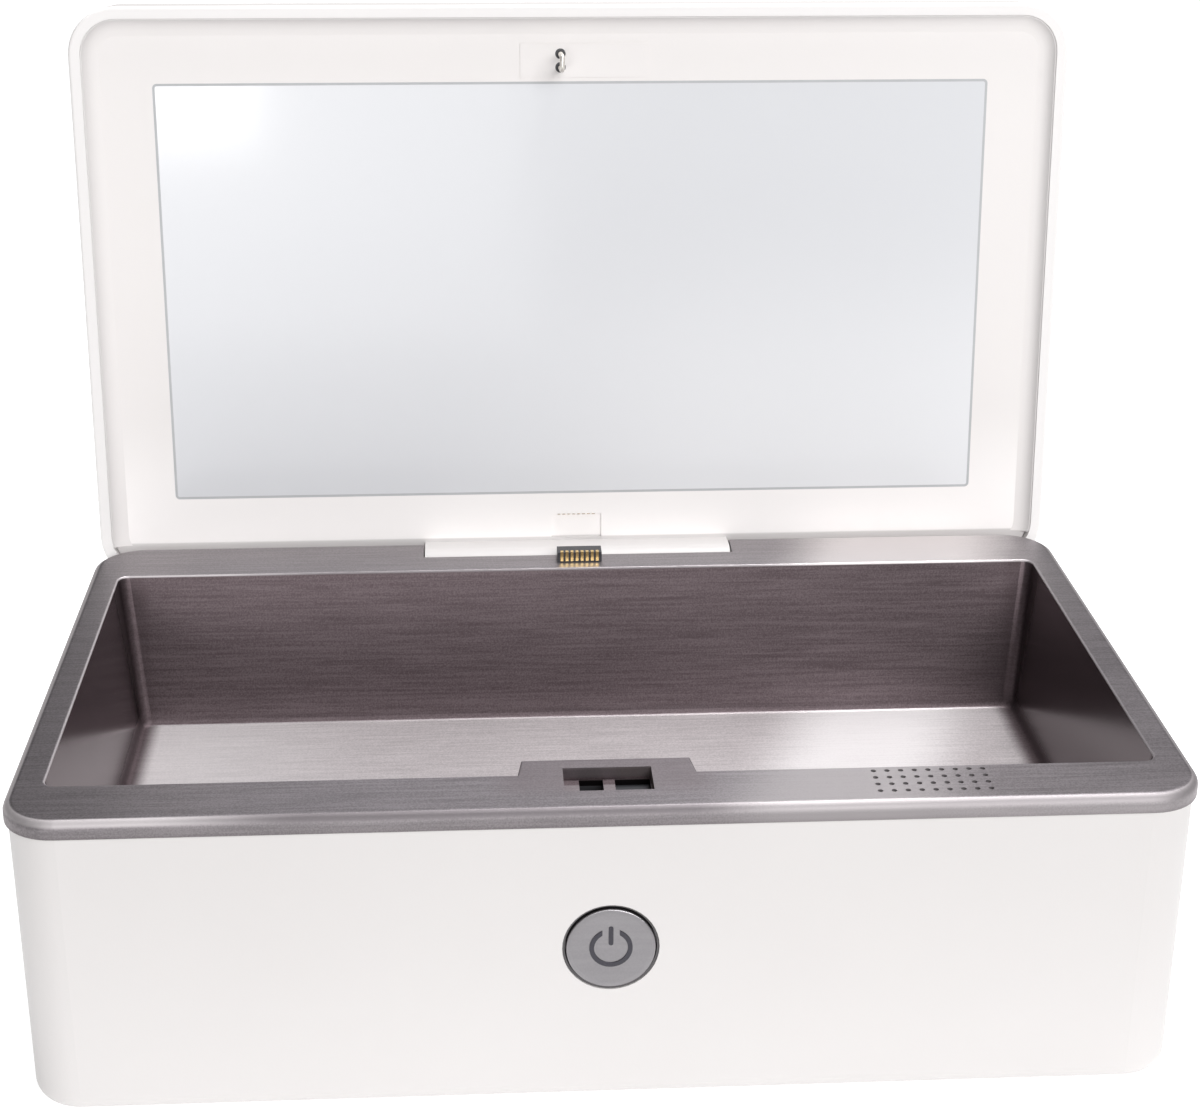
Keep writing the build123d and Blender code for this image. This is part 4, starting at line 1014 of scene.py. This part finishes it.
GREY_FELT = PressedFelt("grey_felt", (0.10, 0.10, 0.105), (0.20, 0.20, 0.21))
RIBBON_FILM = StripedFilm("ribbon_film", (0.50, 0.20, 0.03), (0.75, 0.42, 0.18))
LAMP_LENS = GlowLens("lamp_lens", (0.86, 0.86, 0.82), (0.85, 0.70, 0.25))


def scaled(section: Sequence[Span], across: float, up: float) -> list[Span]:
    """A section in metres, from its shares of a width and a height."""
    return [(across * first, up * second) for first, second in section]


def middle(node: str) -> Vector:
    """Middle of a CAD node's box."""
    low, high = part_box(node)
    return (low + high) / 2


class Shape:
    """A mesh in the making, in metres and in the object's own place."""

    def __init__(self) -> None:
        """Start empty."""
        self.mesh = bmesh.new()

    def merge(self, distance: float) -> None:
        """Merge points that are closer than a distance."""
        bmesh.ops.remove_doubles(self.mesh, verts=self.mesh.verts[:], dist=distance)

    def move(self, place: Matrix) -> None:
        """Take the whole shape to its place."""
        bmesh.ops.transform(self.mesh, matrix=place, verts=self.mesh.verts[:])

    def lathe(
        self, profile: Sequence[Span], centre: Vector, steps: int, across: Vector = EAST
    ) -> None:
        """Turn a profile a full turn round an upright axis.

        Args:
            profile: Radius and height, point by point.
            centre: The point on the axis at height 0.
            steps: Facets round the turn.
            across: Direction in which the turn starts.
        """
        new = self.mesh.verts.new
        points = [new(centre + across * radius + UP * rise) for radius, rise in profile]
        edges = [self.mesh.edges.new(pair) for pair in zip(points, points[1:])]
        bmesh.ops.spin(
            self.mesh,
            geom=points + edges,
            cent=centre,
            axis=UP,
            dvec=(0, 0, 0),
            angle=math.tau,
            steps=steps,
            use_merge=True,
            use_duplicate=False,
        )
        self.merge(MERGE_DISTANCE)

    def framed(
        self, size: Span, radius: float, steps: Sequence[Span], foot: float, arc: int = 10
    ) -> None:
        """Make a closed ring round a rounded rectangle, in the plane of X and Y, as the first form.

        Args:
            size: Width and height of the ring's outer edge.
            radius: Radius of its corners.
            steps: Inset from the outer edge and level, point by point, the first with no inset.
            foot: Level of the ring's flat back.
            arc: Facets to a corner.
        """
        corners = bmesh.ops.create_grid(self.mesh, x_segments=1, y_segments=1, size=0.5)["verts"]
        bmesh.ops.scale(self.mesh, verts=corners, vec=(size[0], size[1], 1.0))
        bmesh.ops.bevel(
            self.mesh,
            geom=corners,
            offset=radius,
            offset_type="OFFSET",
            segments=arc,
            profile=0.5,
            affect="VERTICES",
            material=-1,
        )
        face = self.mesh.faces[:][0]
        bmesh.ops.translate(self.mesh, verts=face.verts[:], vec=(0.0, 0.0, steps[0][1]))
        for before, after in zip(steps, steps[1:]):
            bmesh.ops.inset_region(
                self.mesh,
                faces=[face],
                thickness=after[0] - before[0],
                depth=0.0,
                use_boundary=True,
                use_even_offset=True,
            )
            rise = after[1] - before[1]
            bmesh.ops.translate(self.mesh, verts=face.verts[:], vec=(0.0, 0.0, rise))
        inner = list(face.edges)
        outer = [edge for edge in self.mesh.edges if edge.is_boundary]
        bmesh.ops.delete(self.mesh, geom=[face], context="FACES_ONLY")
        wall = bmesh.ops.extrude_edge_only(self.mesh, edges=outer)["geom"]
        dropped = [item for item in wall if isinstance(item, bmesh.types.BMVert)]
        bmesh.ops.translate(self.mesh, verts=dropped, vec=(0.0, 0.0, foot - steps[0][1]))
        loop = [item for item in wall if isinstance(item, bmesh.types.BMEdge) and item.is_boundary]
        bmesh.ops.bridge_loops(self.mesh, edges=loop + inner)

    def paint_by_level(self, name: str, start: float, end: float) -> None:
        """Store on each point how far its Z has gone from one level to another.

        Args:
            name: The value's name.
            start: Level that stores 0.
            end: Level that stores 1.
        """
        layer = self.mesh.verts.layers.float.new(name)
        for vert in self.mesh.verts:
            vert[layer] = min(max((vert.co.z - start) / (end - start), 0.0), 1.0)

    def cut(self, place: Vector, away: Vector) -> None:
        """Cut the shape at a plane, drop the far part and close the ends.

        Args:
            place: A point on the plane.
            away: Direction of the part that goes.
        """
        bmesh.ops.bisect_plane(
            self.mesh,
            geom=self.mesh.verts[:] + self.mesh.edges[:] + self.mesh.faces[:],
            dist=MERGE_DISTANCE,
            plane_co=place,
            plane_no=away,
            clear_outer=True,
        )
        ends = [edge for edge in self.mesh.edges if edge.is_boundary]
        bmesh.ops.holes_fill(self.mesh, edges=ends, sides=0)

    def crossed_head(self, radius: float, depth: float, arms: Span, centre: Vector) -> None:
        """A round screw head, seen from below, with a cross recess.

        Args:
            radius: The head's radius.
            depth: Depth of the recess.
            arms: Half the width of the recess's arms and their reach, as shares of the radius.
            centre: Middle of the head's face.
        """
        patch = bmesh.new()
        bmesh.ops.create_grid(patch, x_segments=HEAD_CELLS, y_segments=HEAD_CELLS, size=1.0)
        cross = []
        for face in patch.faces:
            near, far = sorted(abs(place) for place in face.calc_center_median().xy)
            if near < arms[0] and far < arms[1]:
                cross.append(face)
        for vert in patch.verts:
            x, y = vert.co.xy
            upright = abs(y) > abs(x)
            far, near = (y, x) if upright else (x, y)
            turn = math.pi / 4 * near / far
            spot = (math.sin(turn), math.cos(turn)) if upright else (math.cos(turn), math.sin(turn))
            vert.co = Vector((*spot, 0.0)) * far * radius
        sunk = bmesh.ops.extrude_face_region(patch, geom=cross)["geom"]
        bmesh.ops.delete(patch, geom=cross, context="FACES")
        floor = [item for item in sunk if isinstance(item, bmesh.types.BMVert)]
        bmesh.ops.translate(patch, verts=floor, vec=(0, 0, depth))
        bmesh.ops.translate(patch, verts=patch.verts[:], vec=centre)
        data = bpy.data.meshes.new("head_patch")
        patch.to_mesh(data)
        patch.free()
        self.mesh.from_mesh(data)
        bpy.data.meshes.remove(data)

    def finish(
        self, name: str, body: str, slot: str, material: bpy.types.Material, stands_for: str = ""
    ) -> None:
        """Turn the mesh into a piece of the object.

        Args:
            name: The piece's name.
            body: The body it moves with.
            slot: Not used.
            material: Its material.
            stands_for: CAD node that it takes the place of, if any.
        """
        bmesh.ops.recalc_face_normals(self.mesh, faces=self.mesh.faces[:])
        data = bpy.data.meshes.new(name)
        self.mesh.to_mesh(data)
        self.mesh.free()
        data.polygons.foreach_set("use_smooth", [True] * len(data.polygons))
        data.set_sharp_from_angle(angle=SHARP_ANGLE)
        piece = bpy.data.objects.new(name, data)
        bpy.context.scene.collection.objects.link(piece)
        data.materials.append(material)
        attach(piece, body)
        if stands_for:
            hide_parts(stands_for)
        LOG.info("made %s, %d faces", name, len(data.polygons))


@dataclass
class Group:
    """A sub-assembly: the CAD nodes that it dresses, and the pieces that it adds."""

    palette: Palette
    coats: ClassVar[tuple[tuple[Finish, tuple[str, ...]], ...]] = ()

    def add_pieces(self) -> None:
        """Build the added pieces. A group that doesn't say otherwise has none."""

    def dress(self) -> None:
        """Dress the CAD nodes and build the added pieces."""
        for finish, nodes in self.coats:
            self.palette.dress(finish, *nodes)
        self.add_pieces()


@dataclass
class BaseShell(Group):
    """Outer body: white shell and cover, rubber feet, case screws and the socket's surround."""

    coats = (
        (WHITE_SHELL, ("body_shell", "base_cover")),
        (SPRING_STEEL, ("board_screws", "socket_shell")),
        (DARK_PLASTIC, ("socket_tongue", "battery_holder")),
    )
    foot_radius: float = 0.007
    foot_height: float = 0.0028
    foot_steps: int = 64
    groove_depth: float = 0.0005
    sole: tuple[Span, ...] = (
        (0.0, 1.0), (0.26, 1.0), (0.32, 0.0), (0.58, 0.0),
        (0.62, 1.0), (0.70, 1.0), (0.74, 0.0), (0.94, 0.0),
    )
    sole_edge: tuple[Span, ...] = ((0.985, 0.02), (1.0, 0.065))
    head_radius: float = 0.0027
    head_height: float = 0.0013
    recess_depth: float = 0.0007
    recess_arms: Span = (0.1, 0.65)
    shank_radius: float = 0.00145
    screw_steps: int = 28
    front_screws: Span = (0.102, 0.036)
    rear_screws: Span = (0.102, 0.058)
    port_size: Span = (0.0122, 0.0065)
    port_round: float = 0.44
    port_lip: float = 0.0009
    port_rise: float = 0.0003
    port_section: tuple[Span, ...] = ((0.0, 0.5), (0.25, 1.0), (0.75, 1.0), (1.0, 0.4))

    def feet(self) -> None:
        """Four turned feet with a ring groove in their soles."""
        low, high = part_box("base_feet")
        radius = self.foot_radius
        profile = scaled(self.sole, radius, self.groove_depth)
        profile += scaled(self.sole_edge, radius, radius)
        profile += [(radius, self.foot_height), (0.0, self.foot_height)]
        shape = Shape()
        for x in (low.x + radius, high.x - radius):
            for y in (low.y + radius, high.y - radius):
                shape.lathe(profile, Vector((x, y, low.z)), self.foot_steps)
        rubber = self.palette.material(FOOT_RUBBER)
        shape.finish("ringed_feet", "base", "dark_rubber", rubber, "base_feet")

    def screws(self) -> None:
        """Eight case screws with a cross recess in their heads."""
        low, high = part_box("cover_screws")
        radius, length = self.head_radius, high.z - low.z
        rows = ((self.front_screws, low.y + radius), (self.rear_screws, high.y - radius))
        profile = [
            (radius, 0.0),
            (radius, self.head_height),
            (self.shank_radius, self.head_height),
            (self.shank_radius, length - self.shank_radius),
            (0.0, length),
        ]
        half_step = math.pi / self.screw_steps
        start = Vector((math.cos(half_step), math.sin(half_step), 0.0))
        shape = Shape()
        for side in (-1, 1):
            for row, y in rows:
                for x in row:
                    place = Vector((side * x, y, low.z))
                    shape.lathe(profile, place, self.screw_steps, start)
                    shape.crossed_head(radius, self.recess_depth, self.recess_arms, place)
        shape.merge(SEAM_DISTANCE)
        steel = self.palette.material(SPRING_STEEL)
        shape.finish("case_screws", "base", "steel", steel, "cover_screws")

    def port_bezel(self) -> None:
        """A low oval bezel round the charging socket, on the back wall."""
        spot = middle("socket_shell")
        spot.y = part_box("body_shell")[1].y
        section = scaled(self.port_section, self.port_lip, self.port_rise)
        facing_back = Matrix(((-1, 0, 0), (0, 0, 1), (0, 1, 0))).to_4x4()
        shape = Shape()
        shape.framed(self.port_size, self.port_size[1] * self.port_round, section, -self.port_rise)
        shape.move(Matrix.Translation(spot) @ facing_back)
        shape.finish("port_bezel", "base", "dark_plastic", self.palette.material(COLLAR_PLASTIC))

    def add_pieces(self) -> None:
        """Build the feet, the screws and the socket's bezel."""
        self.feet()
        self.screws()
        self.port_bezel()


@dataclass
class ChamberGroup(Group):
    """Silver rim and tub, with the sounder that sits under its grille."""

    coats = (
        (SILVER_TUB, ("chamber_tub",)),
        (DARK_PLASTIC, ("sounder",)),
        (CHIP_PLASTIC, ("sounder_cone",)),
        (GREY_FELT, ("sounder_felt",)),
        (SPRING_STEEL, ("sounder_clamp", "clamp_screws")),
    )


@dataclass
class StartGroup(Group):
    """Start button with its symbol, collar, spring, switch and bracket."""

    coats = (
        (BUTTON_METAL, ("start_button",)),
        (SYMBOL_METAL, ("button_symbol",)),
        # Dark collar: painted shade standing in for the gap round the cap.
        (COLLAR_PLASTIC, ("button_collar",)),
        (DARK_PLASTIC, ("button_bracket",)),
        (CHIP_PLASTIC, ("button_switch",)),
        (SPRING_STEEL, ("button_spring", "bracket_screws")),
        (GREEN_BOARD, ("switch_board",)),
    )


@dataclass
class LatchGroup(Group):
    """Latch under the rim's pocket, with the release pin on its bolt."""

    coats = (
        (DARK_PLASTIC, ("latch_housing",)),
        (LATCH_BRASS, ("latch_bolt",)),
        (SPRING_STEEL, ("latch_spring", "latch_screws")),
    )
    pin_radius: float = 0.0009
    pin_height: float = 0.0008
    pin_offset: float = 0.0016
    pin_steps: int = 32
    pin_section: tuple[Span, ...] = (
        (0.0, -0.5), (1.0, -0.5), (1.0, 0.7), (0.9, 0.9), (0.6, 1.0), (0.0, 1.0)
    )

    def add_pieces(self) -> None:
        """A small turned pin on the bolt's top, which shows in the right slot."""
        spot = middle("latch_bolt") + EAST * self.pin_offset
        spot.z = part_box("latch_bolt")[1].z
        profile = scaled(self.pin_section, self.pin_radius, self.pin_height)
        shape = Shape()
        shape.lathe(profile, spot, self.pin_steps)
        shape.finish("release_pin", "latch_slider", "steel", self.palette.material(SPRING_STEEL))


@dataclass
class ContactGroup(Group):
    """Contact block behind the chamber, the pads in the lid and their ribbon leads."""

    coats = (
        (DARK_PLASTIC, ("contact_block",)),
        (CONTACT_GOLD, ("contact_fingers", "lid_contacts")),
        (RIBBON_FILM, ("base_ribbon", "switch_lead", "lid_ribbon")),
    )


@dataclass
class InsideGroup(Group):
    """Boards and cells under the chamber, and the hinge's bushes and pins."""

    coats = (
        (GREEN_BOARD, ("control_board",)),
        (CHIP_PLASTIC, ("board_parts",)),
        (CELL_SLEEVE, ("battery_cells",)),
        (SPRING_STEEL, ("cell_contacts", "hinge_pins")),
        (LATCH_BRASS, ("hinge_bushes",)),
    )


@dataclass
class LidGroup(Group):
    """Lid: white tray and frame, the lamp and its pane, the gasket and the striker."""

    coats = (
        (LID_PLASTIC, ("lid_shell",)),
        (WHITE_FRAME, ("lid_frame",)),
        (LAMP_PANE, ("lid_window",)),
        (GASKET_RUBBER, ("window_gasket",)),
        (STRIKER_STEEL, ("lid_striker",)),
        (SPRING_STEEL, ("reflector_screws", "lamp_screws")),
        (BRIGHT_SHEET, ("reflector",)),
        (DULL_SHEET, ("heat_spreader",)),
        (GREEN_BOARD, ("lamp_board",)),
        (LAMP_LENS, ("uv_lamps",)),
    )
    lip_distance: float = 0.0045
    lid_height: float = 0.1416
    rear_reach: float = 0.004463
    corner_radius: float = 0.0115
    frame_recess: float = 0.0020
    border_inset: float = 0.00282
    border_width: float = 0.0042
    border_drop: float = 0.00035
    border_sink: float = 0.00002
    border_foot: float = 0.0001
    border_end: float = 0.0045
    cove: tuple[Span, ...] = ((0.0, 0.0), (0.08, 0.0), (0.22, 0.38), (0.42, 0.68), (0.68, 0.90))
    # Dark rings round the striker's legs: painted shade where the legs enter the lid.
    shade_ring_inner: float = 0.0006
    shade_ring_width: float = 0.00065
    shade_ring_rise: float = 0.00007
    shade_ring_steps: int = 36
    shade_ring_section: tuple[Span, ...] = (
        (0.0, -1.0), (0.0, 0.6), (0.4, 1.0), (1.0, 0.0), (1.0, -1.0), (0.0, -1.0)
    )
    pad_height: float = 0.0003
    striker_from_front: float = 0.0131
    striker_span: float = 0.0032

    def plane(self) -> Matrix:
        """Matrix from the lid's own plane, measured from the hinge, to the open lid.

        Returns:
            The matrix.
        """
        sine, cosine = math.sin(LID_LEAN), math.cos(LID_LEAN)
        turn = Matrix(((1.0, 0.0, 0.0), (0.0, sine, -cosine), (0.0, cosine, sine))).to_4x4()
        return Matrix.Translation(middle("hinge_pins")) @ turn

    def border(self) -> None:
        """The frame's coved border, which rises to the tray's lip along the sides and the front."""
        low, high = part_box("lid_shell")
        inset = self.border_inset
        face = -(self.lip_distance + self.frame_recess)
        top = -(self.lip_distance + self.border_drop)
        cove = scaled(self.cove, self.border_width, face - top)
        section = [(inward, top + fall) for inward, fall in cove]
        section.append((self.border_width, face - self.border_sink))
        size = (high.x - low.x - 2 * inset, self.lid_height - 2 * inset)
        shape = Shape()
        shape.framed(size, self.corner_radius - inset, section, face - self.border_foot)
        shape.paint_by_level("inset", top, face)
        shape.move(Matrix.Translation((0.0, self.lid_height / 2 - self.rear_reach, 0.0)))
        shape.cut(Vector((0.0, self.border_end, 0.0)), Vector((0.0, -1.0, 0.0)))
        shape.move(self.plane())
        shape.finish("frame_border", "lid", "white_frame", self.palette.material(BORDER_PLASTIC))

    def striker_shade_rings(self) -> None:
        """A dark ring round each leg of the striker: painted shade where the legs enter the lid."""
        centre = self.lid_height - self.rear_reach - self.striker_from_front
        level = self.pad_height - self.lip_distance - self.frame_recess
        section = scaled(self.shade_ring_section, self.shade_ring_width, self.shade_ring_rise)
        profile = [(self.shade_ring_inner + outward, rise) for outward, rise in section]
        shape = Shape()
        for side in (-1, 1):
            spot = Vector((middle("lid_striker").x, centre + side * self.striker_span / 2, level))
            shape.lathe(profile, spot, self.shade_ring_steps)
        shape.move(self.plane())
        shape.finish("striker_shade_rings", "lid", "dark_plastic", self.palette.material(DARK_PLASTIC))

    def add_pieces(self) -> None:
        """Build the border and the dark rings of painted shade round the striker's legs."""
        self.border()
        self.striker_shade_rings()


@dataclass(frozen=True)
class SoftLight:
    """A rectangular studio light that points at the object."""

    name: str
    place: Point
    target: Point
    width: float
    height: float
    watts: float

    def hang(self) -> None:
        """Put the light into the scene."""
        lamp = bpy.data.lights.new(self.name, "AREA")
        lamp.shape = "RECTANGLE"
        lamp.size = self.width
        lamp.size_y = self.height
        lamp.energy = self.watts
        holder = bpy.data.objects.new(self.name, lamp)
        aim = Vector(self.target) - Vector(self.place)
        turn = aim.to_track_quat("-Z", "Y").to_matrix().to_4x4()
        holder.matrix_world = Matrix.Translation(Vector(self.place)) @ turn
        bpy.context.scene.collection.objects.link(holder)


@dataclass
class Studio:
    """Pale floor, soft lights and the camera at the photograph's angle."""

    camera_place: Point = (-0.0259, -0.3818, 0.2108)
    yaw: float = 0.0608
    pitch: float = -0.3894
    roll: float = 0.0050
    lens: float = 66.49
    sensor: float = 36.0
    clip: Span = (0.01, 50.0)
    floor_half: float = 4.0
    floor_colour: Colour = (0.45, 0.45, 0.45)
    floor_roughness: Span = (0.6, 0.75)
    floor_cloud: float = 3.0
    glow_y: Span = (-0.22, -0.02)
    glow_share: Span = (0.06, 1.0)
    world_strength: float = 0.18
    lights: tuple[SoftLight, ...] = (
        SoftLight("key_panel", (0.42, -1.45, 0.9), (0.0, 0.03, 0.1), 1.0, 0.7, 20.4),
        SoftLight("back_panel", (0.25, 0.17, 1.1), (0.03, 0.0, 0.06), 0.35, 0.3, 13.0),
        SoftLight("left_panel", (-0.31, -1.30, 0.26), (-0.09, 0.07, 0.17), 0.22, 0.20, 1.25),
        SoftLight("left_glow", (-0.20, -1.30, 0.16), (-0.07, 0.07, 0.15), 0.46, 0.46, 1.55),
    )

    def floor(self) -> None:
        """A plain pale floor."""
        shape = bmesh.new()
        bmesh.ops.create_grid(shape, x_segments=1, y_segments=1, size=self.floor_half)
        data = bpy.data.meshes.new("studio_floor")
        shape.to_mesh(data)
        shape.free()
        graph = Graph("studio_floor")
        glow = graph.axis("Y").ramp(*self.glow_y).spread(*self.glow_share)
        sockets = {
            "Base Color": self.floor_colour,
            "Roughness": graph.noise(self.floor_cloud).spread(*self.floor_roughness),
            "Emission Color": graph.blend(glow, (0.0, 0.0, 0.0), (1.0, 1.0, 1.0)),
            "Emission Strength": 1.0,
        }
        data.materials.append(graph.finished(sockets))
        plane = bpy.data.objects.new("studio_floor", data)
        bpy.context.scene.collection.objects.link(plane)

    def world(self) -> None:
        """Even white light from all round."""
        world = bpy.data.worlds.new("studio_world")
        world.use_nodes = True
        background = world.node_tree.nodes["Background"]
        background.inputs["Color"].default_value = (1.0, 1.0, 1.0, 1.0)
        background.inputs["Strength"].default_value = self.world_strength
        bpy.context.scene.world = world
        bpy.context.scene.view_settings.view_transform = "Standard"

    def camera(self) -> None:
        """The camera, placed from the middle of the rim's front edge."""
        data = bpy.data.cameras.new("photo_camera")
        data.sensor_fit = "HORIZONTAL"
        data.sensor_width = self.sensor
        data.lens = self.lens
        data.clip_start, data.clip_end = self.clip
        ahead = Vector((math.sin(self.yaw), math.cos(self.yaw), 0.0))
        forward = ahead * math.cos(self.pitch) + UP * math.sin(self.pitch)
        level_right = Vector((math.cos(self.yaw), -math.sin(self.yaw), 0.0))
        level_up = level_right.cross(forward)
        right = level_right * math.cos(self.roll) + level_up * math.sin(self.roll)
        up = level_up * math.cos(self.roll) - level_right * math.sin(self.roll)
        turn = Matrix((right, up, -forward)).transposed().to_4x4()
        low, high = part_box("chamber_tub")
        rim_front = Vector(((low.x + high.x) / 2, low.y, high.z))
        camera = bpy.data.objects.new("photo_camera", data)
        camera.matrix_world = Matrix.Translation(rim_front + Vector(self.camera_place)) @ turn
        bpy.context.scene.collection.objects.link(camera)
        bpy.context.scene.camera = camera

    def build(self) -> None:
        """Put the whole studio up."""
        self.camera()
        self.floor()
        self.world()
        for light in self.lights:
            light.hang()


def main() -> None:
    """Build the studio, dress every sub-assembly and note the sizes."""
    logging.basicConfig(level=logging.INFO, format="%(message)s")
    palette = Palette()
    Studio().build()
    kinds = (BaseShell, ChamberGroup, StartGroup, LatchGroup, ContactGroup, InsideGroup, LidGroup)
    for kind in kinds:
        kind(palette).dress()
        LOG.info("finished %s", kind.__name__)


if __name__ == "__main__":
    main()
